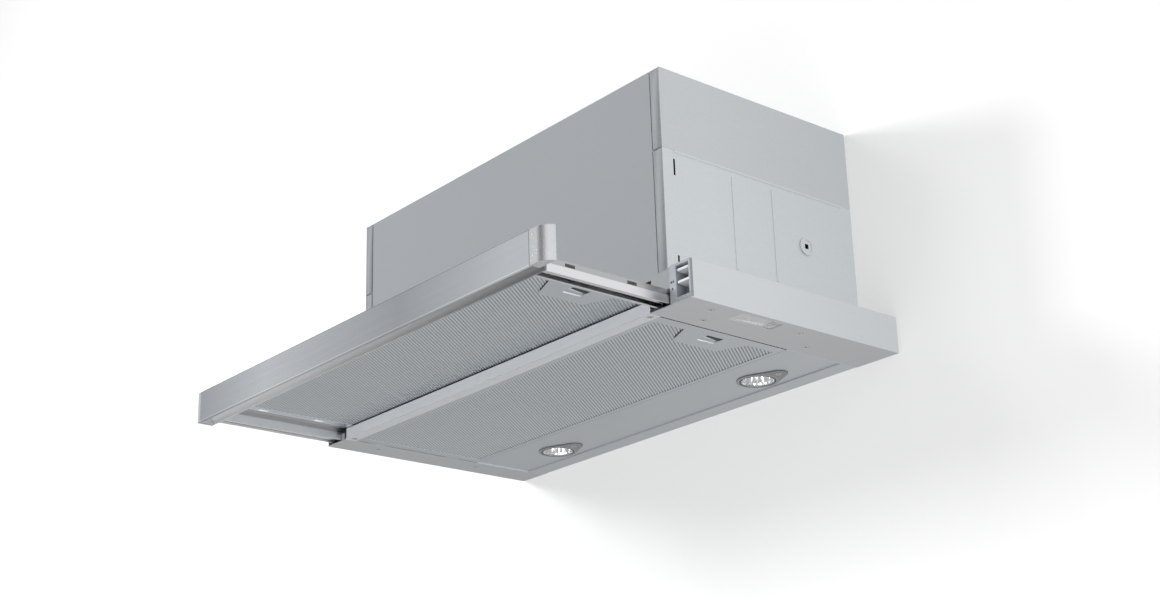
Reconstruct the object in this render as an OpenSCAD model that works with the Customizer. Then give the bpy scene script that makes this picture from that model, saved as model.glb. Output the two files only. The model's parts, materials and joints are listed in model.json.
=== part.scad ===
// Pull out cooker hood, 60 cm wide, with its filter drawer drawn out.
// X runs to the right seen from the front, Y to the back and Z up. The origin is the middle of
// the footprint, on the plane of the underside.

/* [Base] */
// Width of the base and of the drawer front
base_w = 598; // [590:1:620]
// Depth of the base, from the front of its arms to the wall
base_d = 280; // [276:1:300]
// Height of the base
base_h = 38; // [37:0.5:44]
// Thickness of the sheet metal
sheet_t = 1; // [0.8:0.1:1.1]
// Width of the switch panel on the right arm
switch_w = 28; // [27:0.5:30]
// Width of the left arm beside the drawer
left_cheek_w = 8; // [6:0.5:10]
// Height of the front crossbar
crossbar_h = 12.5; // [11:0.1:12.6]
// Depth of the front crossbar
crossbar_d = 13.5; // [12:0.5:15]
// Depth of the lamp panel
lamp_panel_d = 78; // [70:1:82]

/* [Casing] */
// Distance from each side of the base to the casing
casing_inset = 47; // [43:1:54]
// Height of the casing above the underside
casing_top = 255; // [253:1:280]
// Setback of the casing behind the front of the arms
casing_setback = 17; // [15:1:20]
// Height of the seam between the lower and upper side panels
seam_z = 170; // [168:1:174]
// Width of the side panels' folded front strips
strip_w = 12; // [10:0.5:14]

/* [Drawer] */
// How far the drawer's front face stands in front of the arms
drawer_out = 166; // [140:1:170]
// Height of the drawer front
front_h = 33; // [31:0.5:36]
// Depth of the drawer front
front_d = 19; // [18:0.5:22]
// Width of the rounded right end cap
right_cap_w = 24; // [22:0.5:28]
// Depth of the right end cap
right_cap_d = 11; // [9:0.5:12]
// Radius of the right end cap's rounded corner
right_cap_round = 15; // [12.5:0.5:17]
// Width of the left end cap
left_cap_w = 7; // [5:0.5:10]
// Width of each side channel of the drawer
channel_w = 17; // [16.5:0.5:18]
// Height of the top of the side channels
channel_top = 16; // [15.8:0.2:17]
// Length of the side channels behind the front of the arms
channel_tail = 110; // [90:1:115]

/* [Filters] */
// Gap between each end of the filters and the opening they hang in
filter_gap = 2; // [1.5:0.5:13]
// Thickness of the grease filters
filter_t = 9; // [8.5:0.1:9.4]
// Width of the border at the filters' two ends
filter_rim = 12; // [10:0.5:14]
// Width of the border along the filters' long sides
filter_edge = 5; // [4:0.5:12]
// Height of the drawer filter's underside
drawer_filter_z = 13; // [12.8:0.1:13.6]
// Travel of the filter latches
latch_travel = 5; // [3:0.5:5.5]

/* [Lamps] */
// Distance from each end of the lamp panel to the middle of its lamp
lamp_inset = 90.5; // [83:1:113]
// Radius of the lamp bezel
bezel_r = 22; // [20:0.5:26]
// Radius of the lamp glass
glass_r = 17; // [15:0.5:18]
// Distance from the lamp's centre to its screw
bezel_screw_x = 29.5; // [28:0.5:34]

/* [Blower] */
// Radius of the fan wheel
wheel_r = 62; // [56:0.5:64]
// Width of the fan wheel
wheel_w = 80; // [70:1:90]
// Number of blades on the fan wheel
blade_count = 32; // [20:1:40]
// Width of the scroll housing
scroll_w = 110; // [102:1:130]
// Radius of the motor
motor_r = 38; // [30:0.5:40]
// Radius of the motor shaft
shaft_r = 4; // [3:0.1:5]

/* [Outlet] */
// Outer radius of the duct collar
collar_r = 75; // [70:0.5:78]
// Height of the duct collar above the casing
collar_h = 28; // [26:0.5:32]
// Wall of the duct collar
collar_t = 2; // [1.5:0.1:2.5]

/* [Hidden] */
$fn = 64;

// Fits, and one overrun for every cut
over = 2;
fit = 0.3;
running = 0.05;
half_share = 0.5;

// Places along Y
front_y = -(drawer_out + base_d) / 2;
arm_y = front_y + drawer_out;
back_y = arm_y + base_d;
panel_back_y = front_y + front_d;
casing_y = arm_y + casing_setback;
crossbar_y = arm_y + fit;
filter_y0 = crossbar_y + crossbar_d + fit;
rear_strip_d = 21;
rear_strip_y = back_y - sheet_t - rear_strip_d;
lamp_panel_y = rear_strip_y - lamp_panel_d;
filter_y1 = lamp_panel_y - fit;

// Places along X: the drawer runs between the left cheek and the switch panel
half_w = base_w / 2;
casing_x = half_w - casing_inset;
mouth_gap = 1;
drawer_x1 = half_w - switch_w - mouth_gap;
drawer_x0 = left_cheek_w + mouth_gap - half_w;
mid_x = (drawer_x0 + drawer_x1) / 2;
drawer_half = (drawer_x1 - drawer_x0) / 2;
lip_w = 10;
opening_half = drawer_half - channel_w - lip_w;

// A box between two places along each axis
module box3(x, y, z) {
    translate([x[0], y[0], z[0]])
        cube([x[1] - x[0], y[1] - y[0], z[1] - z[0]]);
}

// A cylinder along X between two places
module rod_x(x, y, z, r) {
    translate([x[0], y, z])
        rotate([0, 90, 0])
            cylinder(r = r, h = x[1] - x[0]);
}

// A cylinder along Y between two places
module rod_y(x, y, z, r) {
    translate([x, y[1], z])
        rotate([90, 0, 0])
            cylinder(r = r, h = y[1] - y[0]);
}

// A cylinder along Z between two heights
module rod_z(x, y, z, r) {
    translate([x, y, z[0]])
        cylinder(r = r, h = z[1] - z[0]);
}

// A profile in Y and Z drawn out along X between two places
module along_x(x) {
    translate([x[0], 0, 0])
        rotate([90, 0, 90])
            linear_extrude(x[1] - x[0])
                children();
}

// Keeps the right one of a pair, or mirrors it about the middle of the drawer
module on_side(side) {
    if (side > 0) {
        children();
    } else {
        translate([2 * mid_x, 0, 0])
            mirror([1, 0, 0])
                children();
    }
}

// Keeps the right one of a pair, or mirrors it about the middle of the base
module on_base_side(side) {
    if (side > 0) {
        children();
    } else {
        mirror([1, 0, 0])
            children();
    }
}

// Screws of the underside: one row holds the slides, the other the cabinet clamps
screw_r = 1.6;
screw_head_r = 3;
slide_screw_inset = 12;
slide_screw_x = mid_x + drawer_half - slide_screw_inset;
slide_screw_shares = [0.19, 0.68];
slide_screw_ys = [for (s = slide_screw_shares) arm_y + base_d * s];
clamp_screw_inset = 16;
clamp_screw_x = half_w - clamp_screw_inset;
clamp_screw_shares = [0.14, 0.555];
clamp_screw_ys = [for (s = clamp_screw_shares) arm_y + base_d * s];

module head_hole(x, y) {
    rod_z(x, y, [-over, sheet_t + over], screw_head_r + fit);
}

// Arms of the base, the right one with a window for the cabinet clamp in its underside
panel_plate_t = 3;
arm_front_y = arm_y + panel_plate_t;
clamp_w = 25;
clamp_x1 = half_w - sheet_t - fit;
clamp_x0 = clamp_x1 - clamp_w;
clamp_wall = 3;
clamp_head = 4;
clamp_dent = 2.4;
window_w = 18;
window_inset = 6;
window_x = [half_w - window_inset - window_w, half_w - window_inset];
window_shares = [0.25, 0.44];
window_y = [for (s = window_shares) arm_y + base_d * s];
seat_screw_r = 2.25;
seat_screw_x = (casing_x + half_w) / 2;
seat_screw_shares = [0.2, 0.8];
seat_screw_ys = [for (s = seat_screw_shares) arm_y + base_d * s];
tab_w = 12;
tab_h = 8;
tab_slot = 3;

module arm_right() {
    color("silver")
        difference() {
            union() {
                box3([half_w - sheet_t, half_w], [arm_front_y, back_y], [0, base_h]);
                box3([casing_x, half_w], [arm_front_y, back_y], [base_h - sheet_t, base_h]);
                box3([mid_x + opening_half, half_w], [arm_y, back_y], [0, sheet_t]);
                box3([casing_x, half_w], [back_y - sheet_t, back_y], [0, base_h]);
            }
            for (y = slide_screw_ys) {
                head_hole(slide_screw_x, y);
            }
            for (y = clamp_screw_ys) {
                head_hole(clamp_screw_x, y);
            }
            for (y = seat_screw_ys) {
                rod_z(seat_screw_x, y, [base_h - sheet_t - over, base_h + over], seat_screw_r);
            }
            box3(window_x, window_y, [-over, sheet_t + over]);
        }
}

left_edge = mid_x - opening_half;
left_screw_x = 2 * mid_x - slide_screw_x;

module arm_left() {
    color("silver")
        difference() {
            union() {
                box3([-half_w, sheet_t - half_w], [arm_y, back_y], [0, base_h]);
                box3([-half_w, -casing_x], [arm_y, back_y], [base_h - sheet_t, base_h]);
                box3([-half_w, left_edge], [arm_y, back_y], [0, sheet_t]);
                box3([-half_w, -casing_x], [back_y - sheet_t, back_y], [0, base_h]);
                box3([left_edge - tab_slot - tab_w / 2, left_edge - tab_slot],
                    [arm_y, arm_y + sheet_t], [0, tab_h]);
            }
            for (y = slide_screw_ys) {
                head_hole(left_screw_x, y);
            }
            for (y = seat_screw_ys) {
                rod_z(-seat_screw_x, y, [base_h - sheet_t - over, base_h + over], seat_screw_r);
            }
        }
}

// Sprung clamp that grips the cabinet's side from inside the right arm
module cabinet_clamp() {
    color("gainsboro")
        difference() {
            union() {
                box3([clamp_x0, clamp_x1],
                    [clamp_screw_ys[0] - 2 * screw_head_r, clamp_screw_ys[1] + 2 * screw_head_r],
                    [sheet_t, sheet_t + clamp_wall]);
                box3([clamp_x1 - clamp_wall, clamp_x1],
                    [clamp_screw_ys[0], clamp_screw_ys[1]],
                    [sheet_t, base_h - sheet_t - clamp_head]);
            }
            for (y = clamp_screw_ys) {
                rod_z(clamp_screw_x, y, [-over, sheet_t + clamp_wall + over], screw_r + running);
            }
            along_x(window_x)
                polygon([[window_y[0], 0], [window_y[1], 0],
                    [window_y[1], sheet_t + clamp_dent], [window_y[0], sheet_t]]);
        }
}

// Front crossbar between the two filters
crossbar_screw_inset = 7;
crossbar_screw_y = crossbar_y + crossbar_d / 2;
crossbar_x = [left_edge, mid_x + opening_half];
crossbar_screw_xs = [crossbar_x[0] + crossbar_screw_inset, crossbar_x[1] - crossbar_screw_inset];

module crossbar() {
    color("silver")
        difference() {
            box3(crossbar_x, [crossbar_y, crossbar_y + crossbar_d], [0, crossbar_h]);
            box3([crossbar_x[0] - over, crossbar_x[1] + over],
                [crossbar_y + sheet_t, crossbar_y + crossbar_d - sheet_t],
                [sheet_t, crossbar_h + over]);
            for (x = crossbar_screw_xs) {
                head_hole(x, crossbar_screw_y);
            }
        }
}

// Fascia above the drawer slot, with the notch beside the drawer's runner
fascia_gap = 2.5;
fascia_low_gap = 2;
fascia_z = drawer_filter_z + filter_t + fascia_gap;
fascia_low_z = channel_top + fascia_low_gap;
notch_w = 4;
notch_x1 = mid_x + opening_half - notch_w;
notch_leg = 4;
notch_inset = 5;
notch_slot = 2;
notch_top = base_h - notch_inset;

module fascia() {
    color("silver")
        difference() {
            union() {
                box3([sheet_t - half_w, half_w - switch_w],
                    [arm_front_y, arm_front_y + sheet_t], [fascia_z, base_h - sheet_t]);
                box3([notch_x1 + notch_w, half_w - switch_w],
                    [arm_front_y, arm_front_y + sheet_t], [fascia_low_z, fascia_z]);
                box3([sheet_t - half_w, left_edge - notch_w],
                    [arm_front_y, arm_front_y + sheet_t], [fascia_low_z, fascia_z]);
                box3([-casing_x, casing_x],
                    [arm_front_y, casing_y], [base_h - sheet_t, base_h]);
            }
            box3([notch_x1, notch_x1 + notch_w],
                [arm_front_y - over, arm_front_y + sheet_t + over], [fascia_z - over, notch_top]);
            box3([notch_x1 - notch_leg, notch_x1 + notch_w],
                [arm_front_y - over, arm_front_y + sheet_t + over],
                [notch_top - notch_slot, notch_top]);
        }
}

// Panel behind the fixed filter that carries the lamps
bezel_t = 1.2;
panel_hole_gap = 0.4;
panel_hole_r = glass_r + panel_hole_gap;
lamp_share = 0.64;
lamp_y = lamp_panel_y + lamp_panel_d * lamp_share;
lamp_xs = [left_edge + lamp_inset, mid_x + opening_half - lamp_inset];

module lamp_panel() {
    color("silver")
        difference() {
            union() {
                box3([left_edge, mid_x + opening_half], [lamp_panel_y, rear_strip_y],
                    [bezel_t, bezel_t + sheet_t]);
                for (y = [lamp_panel_y, rear_strip_y - sheet_t]) {
                    box3([left_edge, mid_x + opening_half], [y, y + sheet_t],
                        [0, bezel_t + sheet_t]);
                }
                for (x = [left_edge, mid_x + opening_half - sheet_t]) {
                    box3([x, x + sheet_t], [lamp_panel_y, rear_strip_y],
                        [0, bezel_t + sheet_t]);
                }
                box3([left_edge, mid_x + opening_half], [lamp_panel_y, lamp_panel_y + sheet_t],
                    [0, crossbar_h]);
            }
            for (x = lamp_xs) {
                rod_z(x, lamp_y, [-over, bezel_t + sheet_t + over], panel_hole_r);
                rod_z(x + bezel_screw_x, lamp_y, [-over, bezel_t + sheet_t + over],
                    screw_r + running);
            }
        }
}

module rear_strip() {
    color("silver")
        box3([left_edge, mid_x + opening_half], [rear_strip_y, back_y - sheet_t], [0, sheet_t]);
}

// Casing
casing_z = fascia_z + sheet_t;
outlet_share = 0.58;
outlet_y = arm_y + base_d * outlet_share;
gland_r = 8;
gland_bore_r = 4;
gland_shares = [0.72, 0.87];
gland_x = casing_x * gland_shares[0];
gland_y = arm_y + base_d * gland_shares[1];

strip_joint = 1;
casing_panel_x = [strip_w + strip_joint - casing_x, casing_x - strip_w - strip_joint];

module casing_front() {
    color("silver")
        union() {
            box3([sheet_t - casing_x, casing_x - sheet_t],
                [casing_y + sheet_t, casing_y + 2 * sheet_t], [casing_z, casing_top - sheet_t]);
            box3(casing_panel_x,
                [casing_y, casing_y + sheet_t + running], [base_h, casing_top - sheet_t]);
        }
}

module casing_back() {
    color("silver")
        box3([sheet_t - casing_x, casing_x - sheet_t],
            [back_y - sheet_t, back_y], [sheet_t, casing_top - sheet_t]);
}

collar_flange_w = 14;
collar_screw_r = collar_r + collar_flange_w / 2;

module collar_screw_holes(z) {
    for (a = [45 : 90 : 360]) {
        rod_z(collar_screw_r * cos(a), outlet_y + collar_screw_r * sin(a), z, screw_r + running);
    }
}

module casing_top_plate() {
    color("silver")
        difference() {
            box3([sheet_t - casing_x, casing_x - sheet_t],
                [casing_y + sheet_t, back_y], [casing_top - sheet_t, casing_top]);
            rod_z(0, outlet_y, [casing_top - sheet_t - over, casing_top + over],
                collar_r - collar_t);
            rod_z(gland_x, gland_y, [casing_top - sheet_t - over, casing_top + over],
                gland_r + running);
            collar_screw_holes([casing_top - sheet_t - over, casing_top + over]);
        }
}

// Side panels, with their folded strips, beads, slots and fixing boss
bead_h = 0.6;
bead_w = 2.4;
bead_shares = [0.35, 0.56];
bead_foot = 27;
bead_head = 8;
bead_z = [base_h + bead_foot, seam_z - bead_head];
seam_ends = 15;
strip_gap = 6;
strip_foot = 11;
strip_head = 5;
slot_w = 2.2;
slot_inset = 15;
low_slot = [15.5, 24];
high_slot = [26, 9];
slot_zs = [[base_h + low_slot[0], base_h + low_slot[1]],
    [seam_z - high_slot[0], seam_z - high_slot[1]]];
boss_r = 9.5;
boss_h = 1.2;
boss_dish_r = 7;
boss_hole = 5;
boss_y_share = 0.73;
boss_z_share = 0.56;
boss_y = arm_y + casing_setback + (base_d - casing_setback) * boss_y_share;
boss_z = base_h + (seam_z - base_h) * boss_z_share;

module side_lower() {
    color("silver")
        difference() {
            union() {
                box3([casing_x - sheet_t, casing_x], [casing_y, back_y], [casing_z, seam_z]);
                box3([casing_x - strip_w, casing_x], [casing_y, casing_y + sheet_t],
                    [base_h + strip_foot, seam_z - strip_gap]);
                for (s = bead_shares) {
                    box3([casing_x, casing_x + bead_h],
                        [casing_y + (base_d - casing_setback) * s - bead_w / 2,
                            casing_y + (base_d - casing_setback) * s + bead_w / 2], bead_z);
                }
                box3([casing_x, casing_x + bead_h], [casing_y + seam_ends, back_y - seam_ends],
                    [seam_z - bead_w, seam_z]);
                rod_x([casing_x, casing_x + boss_h], boss_y, boss_z, boss_r);
            }
            for (z = slot_zs) {
                box3([casing_x - sheet_t - over, casing_x + over],
                    [casing_y + slot_inset - slot_w / 2, casing_y + slot_inset + slot_w / 2], z);
            }
            rod_x([casing_x + boss_h / 2, casing_x + boss_h + over], boss_y, boss_z,
                boss_dish_r);
            box3([casing_x - sheet_t - over, casing_x + boss_h + over],
                [boss_y - boss_hole / 2, boss_y + boss_hole / 2],
                [boss_z - boss_hole / 2, boss_z + boss_hole / 2]);
        }
}

module side_upper() {
    color("silver")
        union() {
            box3([casing_x - sheet_t, casing_x], [casing_y, back_y], [seam_z, casing_top]);
            box3([casing_x - strip_w, casing_x], [casing_y, casing_y + sheet_t],
                [seam_z, casing_top - strip_head]);
        }
}

module side_right_lower() {
    on_base_side(1) side_lower();
}

module side_right_upper() {
    on_base_side(1) side_upper();
}

module side_left_lower() {
    on_base_side(-1) side_lower();
}

module side_left_upper() {
    on_base_side(-1) side_upper();
}

// Switch panel with two sliding knobs
switch_x = [half_w - switch_w, half_w];
switch_depth = 16;
switch_back_y = arm_y + switch_depth;
recess_w = 16.5;
recess_d = 13;
recess_edge = 2.5;
recess_foot = 5;
recess_x = [half_w - recess_edge - recess_w, half_w - recess_edge];
recess_y = arm_y + recess_d;
recess_z = [recess_foot, base_h - recess_edge];
knob_h = 6;
knob_fit = 0.4;
knob_inset = 1.5;
knob_nose_shares = [0.1, 0.3];
knob_y = [arm_y + knob_inset, recess_y - knob_fit];
stem_r = 1.2;
knob_mid_x = (recess_x[0] + recess_x[1]) / 2;
light_travel = 3.5;
speed_travel = 12;
light_z = recess_z[1] - knob_fit - knob_h / 2;
speed_z = recess_z[0] + knob_fit + knob_h / 2 + speed_travel;
switch_block_d = 14;

module switch_panel() {
    color("lightslategray")
        difference() {
            union() {
                box3(switch_x, [arm_y, arm_front_y], [sheet_t, base_h]);
                box3([switch_x[0] + sheet_t, half_w - 2 * sheet_t], [arm_front_y, switch_back_y],
                    [2 * sheet_t, base_h - 2 * sheet_t]);
            }
            box3(recess_x, [arm_y - over, recess_y], recess_z);
            for (z = [[light_z - light_travel, light_z], [speed_z - speed_travel, speed_z]]) {
                box3([knob_mid_x - stem_r - knob_fit, knob_mid_x + stem_r + knob_fit],
                    [recess_y - over, switch_back_y + over],
                    [z[0] - stem_r - knob_fit, z[1] + stem_r + knob_fit]);
            }
        }
}

module knob(z) {
    along_x([recess_x[0] + knob_fit, recess_x[1] - knob_fit])
        polygon([[knob_y[0], z + knob_h * knob_nose_shares[0]], [knob_y[1], z + knob_h / 2],
            [knob_y[1], z - knob_h / 2], [knob_y[0], z - knob_h * knob_nose_shares[1]]]);
    rod_y(knob_mid_x, [knob_y[1] - sheet_t, switch_back_y - knob_fit], z, stem_r);
}

module light_knob() {
    color("gainsboro") knob(light_z);
}

module speed_knob() {
    color("gainsboro") knob(speed_z);
}

module switch_block() {
    color("dimgray")
        box3([recess_x[0], recess_x[1]], [switch_back_y, switch_back_y + switch_block_d],
            [2 * sheet_t, base_h - 2 * sheet_t]);
}

// Drawer front: folded steel face, extruded grip behind it and two end caps
front_x = [left_cap_w - half_w, half_w - right_cap_w];
hem_d = 3;
grip_r = (front_d - hem_d - 2 * sheet_t) / 2;
grip_wall = 1.5;
left_cap_round = 3;

module drawer_front() {
    color("silver")
        along_x(front_x)
            union() {
                translate([front_y, 0])
                    square([sheet_t, front_h]);
                translate([front_y, front_h - sheet_t])
                    square([front_d, sheet_t]);
                translate([front_y, 0])
                    square([hem_d, sheet_t]);
            }
}

module grip_profile() {
    color("silver")
        along_x(front_x)
            difference() {
                translate([front_y + sheet_t, 0])
                    square([front_d - sheet_t, front_h - sheet_t]);
                translate([front_y + sheet_t - over, -over])
                    square([hem_d - sheet_t + over, sheet_t + over]);
                translate([front_y + hem_d + grip_r, 0])
                    circle(grip_r);
                translate([front_y + sheet_t + grip_wall, grip_r + grip_wall])
                    square([front_d - sheet_t - 2 * grip_wall,
                        front_h - sheet_t - grip_r - 2 * grip_wall]);
            }
}

module end_cap_right() {
    color("gainsboro")
        linear_extrude(front_h)
            union() {
                translate([front_x[1], front_y])
                    square([right_cap_w - right_cap_round, right_cap_d]);
                intersection() {
                    translate([half_w - right_cap_round, front_y + right_cap_round])
                        circle(right_cap_round);
                    translate([half_w - right_cap_round, front_y])
                        square([right_cap_round, right_cap_d]);
                }
            }
}

module end_cap_left() {
    color("gainsboro")
        linear_extrude(front_h)
            union() {
                translate([left_cap_round - half_w, front_y])
                    square([left_cap_w - left_cap_round, front_d]);
                translate([-half_w, front_y + left_cap_round])
                    square([left_cap_round, front_d - left_cap_round]);
                intersection() {
                    translate([left_cap_round - half_w, front_y + left_cap_round])
                        circle(left_cap_round);
                    translate([-half_w, front_y])
                        square(left_cap_round);
                }
            }
}

// Side channels of the drawer, each over its slide
channel_x0 = drawer_x1 - channel_w;
channel_y = [panel_back_y, arm_y + channel_tail];
channel_foot = 2 * sheet_t;
lip_z = 10;
tongue_z = 1;
ledge_z = drawer_filter_z + tongue_z - running;
rear_bar_d = 4.5;
rear_bar_setback = 9;
rear_bar_y = [arm_y + rear_bar_setback, arm_y + rear_bar_setback + rear_bar_d];
rear_bar_top = fascia_low_z - sheet_t / 2;
channel_flange_w = 2.6;
channel_slot_shares = [0.1, 0.38];
channel_slot_length = 11;

module channel() {
    color("gainsboro")
        difference() {
            union() {
                box3([drawer_x1 - sheet_t, drawer_x1], channel_y, [channel_foot, lip_z]);
                box3([drawer_x1 - 2 * sheet_t, drawer_x1 - sheet_t], channel_y,
                    [lip_z - 2 * sheet_t, channel_top]);
                box3([channel_x0, drawer_x1 - sheet_t], channel_y,
                    [channel_top - sheet_t, channel_top]);
                box3([channel_x0, channel_x0 + sheet_t], channel_y, [channel_foot, channel_top]);
                box3([channel_x0, channel_x0 + channel_flange_w], channel_y,
                    [channel_foot, channel_foot + sheet_t]);
                box3([crossbar_x[1], channel_x0], [channel_y[0], rear_bar_y[0] - sheet_t],
                    [ledge_z - sheet_t, ledge_z]);
            }
            for (s = channel_slot_shares) {
                box3([drawer_x1 - 2 * sheet_t - over / 2, drawer_x1 + over],
                    [channel_y[0] + (channel_y[1] - channel_y[0]) * s,
                        channel_y[0] + (channel_y[1] - channel_y[0]) * s + channel_slot_length],
                    [lip_z + sheet_t, channel_top - 2 * sheet_t]);
            }
        }
}

module channel_right() {
    on_side(1) channel();
}

module channel_left() {
    on_side(-1) channel();
}

module drawer_rear_bar() {
    color("silver")
        difference() {
            union() {
                box3([2 * mid_x - channel_x0, channel_x0], rear_bar_y,
                    [drawer_filter_z, rear_bar_top]);
                box3(crossbar_x, rear_bar_y,
                    [drawer_filter_z, drawer_filter_z + filter_t]);
            }
            box3([2 * mid_x - channel_x0 - over, channel_x0 + over],
                [rear_bar_y[0] + sheet_t, rear_bar_y[1] - sheet_t],
                [drawer_filter_z + sheet_t, rear_bar_top + over]);
            box3([crossbar_x[0] + sheet_t, crossbar_x[1] - sheet_t],
                [rear_bar_y[0] + sheet_t, rear_bar_y[1] - sheet_t],
                [drawer_filter_z + sheet_t, drawer_filter_z + filter_t + over]);
        }
}

// Ball slides: fixed member on the arm's floor, moving member in the channel, balls between
race_h = 2.5;
ball_r = race_h / 2 - running;
slide_gap = 3;
slide_x0 = channel_x0 + slide_gap;
slide_z = [sheet_t, channel_top - 2 * sheet_t];
slide_flange_w = 8.5;
slide_y = [arm_y + slide_gap, back_y - slide_gap];
inner_inset = 4;
inner_x = [slide_x0 + inner_inset, drawer_x1 - 2 * sheet_t];
inner_z = [slide_z[0] + sheet_t + race_h, slide_z[1] - sheet_t - race_h];
ball_inset = 6.2;
ball_x = slide_x0 + ball_inset;
ball_zs = [slide_z[0] + sheet_t + race_h / 2, slide_z[1] - sheet_t - race_h / 2];
cage_t = 0.4;
cage_inset = 2.2;
cage_w = 6;
cage_x = [slide_x0 + cage_inset, slide_x0 + cage_inset + cage_w];
cage_length = 90;
cage_lead = 12;
cage_y0 = arm_y + cage_lead;
cage_balls = 6;

module slide_outer() {
    color("gainsboro")
        difference() {
            box3([slide_x0, slide_x0 + slide_flange_w], slide_y, slide_z);
            box3([slide_x0 + sheet_t, slide_x0 + slide_flange_w + over],
                [slide_y[0] - over, slide_y[1] + over],
                [slide_z[0] + sheet_t, slide_z[1] - sheet_t]);
            for (y = slide_screw_ys) {
                rod_z(slide_screw_x, y, [-over, slide_z[0] + sheet_t + over / 4],
                    screw_r + running);
            }
        }
}

module slide_inner() {
    color("gainsboro")
        difference() {
            box3(inner_x, channel_y, inner_z);
            box3([inner_x[0] - over, inner_x[1] - sheet_t],
                [channel_y[0] - over, channel_y[1] + over],
                [inner_z[0] + sheet_t, inner_z[1] - sheet_t]);
        }
}

module ball_cage() {
    color("gold")
        union() {
            box3([cage_x[0], cage_x[0] + cage_t], [cage_y0, cage_y0 + cage_length],
                [ball_zs[0] - cage_t / 2, ball_zs[1] + cage_t / 2]);
            for (z = ball_zs) {
                box3(cage_x, [cage_y0, cage_y0 + cage_length], [z - cage_t / 2, z + cage_t / 2]);
                for (i = [0 : cage_balls - 1]) {
                    translate([ball_x, cage_y0 + cage_length * (i + half_share) / cage_balls, z])
                        sphere(ball_r, $fn = 24);
                }
            }
        }
}

module slide_inner_right() {
    on_side(1) slide_inner();
}

module slide_inner_left() {
    on_side(-1) slide_inner();
}

module ball_cage_right() {
    on_side(1) ball_cage();
}

module ball_cage_left() {
    on_side(-1) ball_cage();
}

module slide_outer_right() {
    on_side(1) slide_outer();
}

module slide_outer_left() {
    on_side(-1) slide_outer();
}

// Grease filters: folded frame with a pull plate, mesh pad and sprung latch
fixed_z = sheet_t + running - tongue_z;
drawer_filter_y = [panel_back_y + sheet_t, rear_bar_y[0] - sheet_t];
fixed_filter_y = [filter_y0, filter_y1];
filter_x = [left_edge + filter_gap, mid_x + opening_half - filter_gap];
frame_wall = 2;
frame_floor = 0.9;
plate_w = 31;
plate_y_shares = [0.25, 0.17];
cup_w = 12;
cup_inset = 12;
latch_w = 20;
latch_fit = 0.4;
tongue_w = 16;
tongue_out = 3.5;
latch_z = 4.5;
latch_t = 1.5;
latch_lip_t = 2;
latch_x = [filter_x[1] - cup_inset - cup_w + latch_fit, filter_x[1] + tongue_out];
rail_w = 3;
slot_rows = 9;
slot_columns = 24;
mesh_slot_l = 13;
mesh_slot_w = 4;
mesh_t = 3;
mesh_angle = 45;
hook_w = 20;
hook_out = 4;
hook_t = 1.2;
hook_shares = [0.2, 0.8];

module filter_frame(y, z) {
    mid = (y[0] + y[1]) / 2;
    depth = y[1] - y[0];
    plate_x = filter_x[1] - filter_rim;
    color("silver")
        difference() {
            union() {
                difference() {
                    box3(filter_x, y, [z, z + filter_t]);
                    box3([filter_x[0] + frame_wall, filter_x[1] - frame_wall],
                        [y[0] + frame_wall, y[1] - frame_wall],
                        [z + frame_floor, z + filter_t + over]);
                    box3([filter_x[0] + filter_rim, filter_x[1] - filter_rim],
                        [y[0] + filter_edge, y[1] - filter_edge], [z - over, z + filter_t]);
                }
                translate([0, 0, z])
                    linear_extrude(frame_floor)
                        polygon([[plate_x, mid - depth * plate_y_shares[0]],
                            [plate_x, mid + depth * plate_y_shares[0]],
                            [plate_x - plate_w, mid + depth * plate_y_shares[1]],
                            [plate_x - plate_w, mid - depth * plate_y_shares[1]]]);
                for (side = [-1, 1]) {
                    box3([latch_x[0], filter_x[1] - frame_wall],
                        [mid + side * (latch_w + rail_w) / 2 - rail_w / 2,
                            mid + side * (latch_w + rail_w) / 2 + rail_w / 2],
                        [z, z + latch_z + latch_t]);
                }
                for (s = hook_shares) {
                    box3([filter_x[0] - hook_out, filter_x[0]],
                        [y[0] + depth * s - hook_w / 2, y[0] + depth * s + hook_w / 2],
                        [z + tongue_z, z + tongue_z + hook_t]);
                }
            }
            box3([filter_x[1] - cup_inset - cup_w, filter_x[1] - cup_inset],
                [mid - latch_w / 2 - latch_fit, mid + latch_w / 2 + latch_fit],
                [z - over, z + frame_floor + over]);
            box3([filter_x[1] - frame_wall - over, filter_x[1] + over],
                [mid - tongue_w / 2 - latch_fit, mid + tongue_w / 2 + latch_fit],
                [z + frame_floor, z + latch_z + latch_t + latch_fit]);
        }
}

module filter_mesh(y, z) {
    mid = (y[0] + y[1]) / 2;
    x0 = filter_x[0] + frame_wall + fit;
    x1 = filter_x[1] - frame_wall - fit;
    y0 = y[0] + frame_wall + fit;
    y1 = y[1] - frame_wall - fit;
    pitch_x = (x1 - x0) / slot_columns;
    pitch_y = (y1 - y0) / slot_rows;
    color("lightgray")
        translate([0, 0, z + frame_floor])
            linear_extrude(mesh_t)
                difference() {
                    translate([x0, y0])
                        square([x1 - x0, y1 - y0]);
                    translate([latch_x[0] - latch_travel - rail_w, mid - latch_w / 2 - 2 * rail_w])
                        square([x1 - latch_x[0] + latch_travel + 2 * rail_w,
                            latch_w + 4 * rail_w]);
                    for (i = [0 : slot_columns - 1]) {
                        for (j = [0 : slot_rows - 1]) {
                            if (i < slot_columns - 2) {
                                translate([x0 + pitch_x * (i + half_share),
                                    y0 + pitch_y * (j + half_share)])
                                    rotate(mesh_angle)
                                        square([mesh_slot_l, mesh_slot_w], center = true);
                            }
                        }
                    }
                }
}

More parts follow.
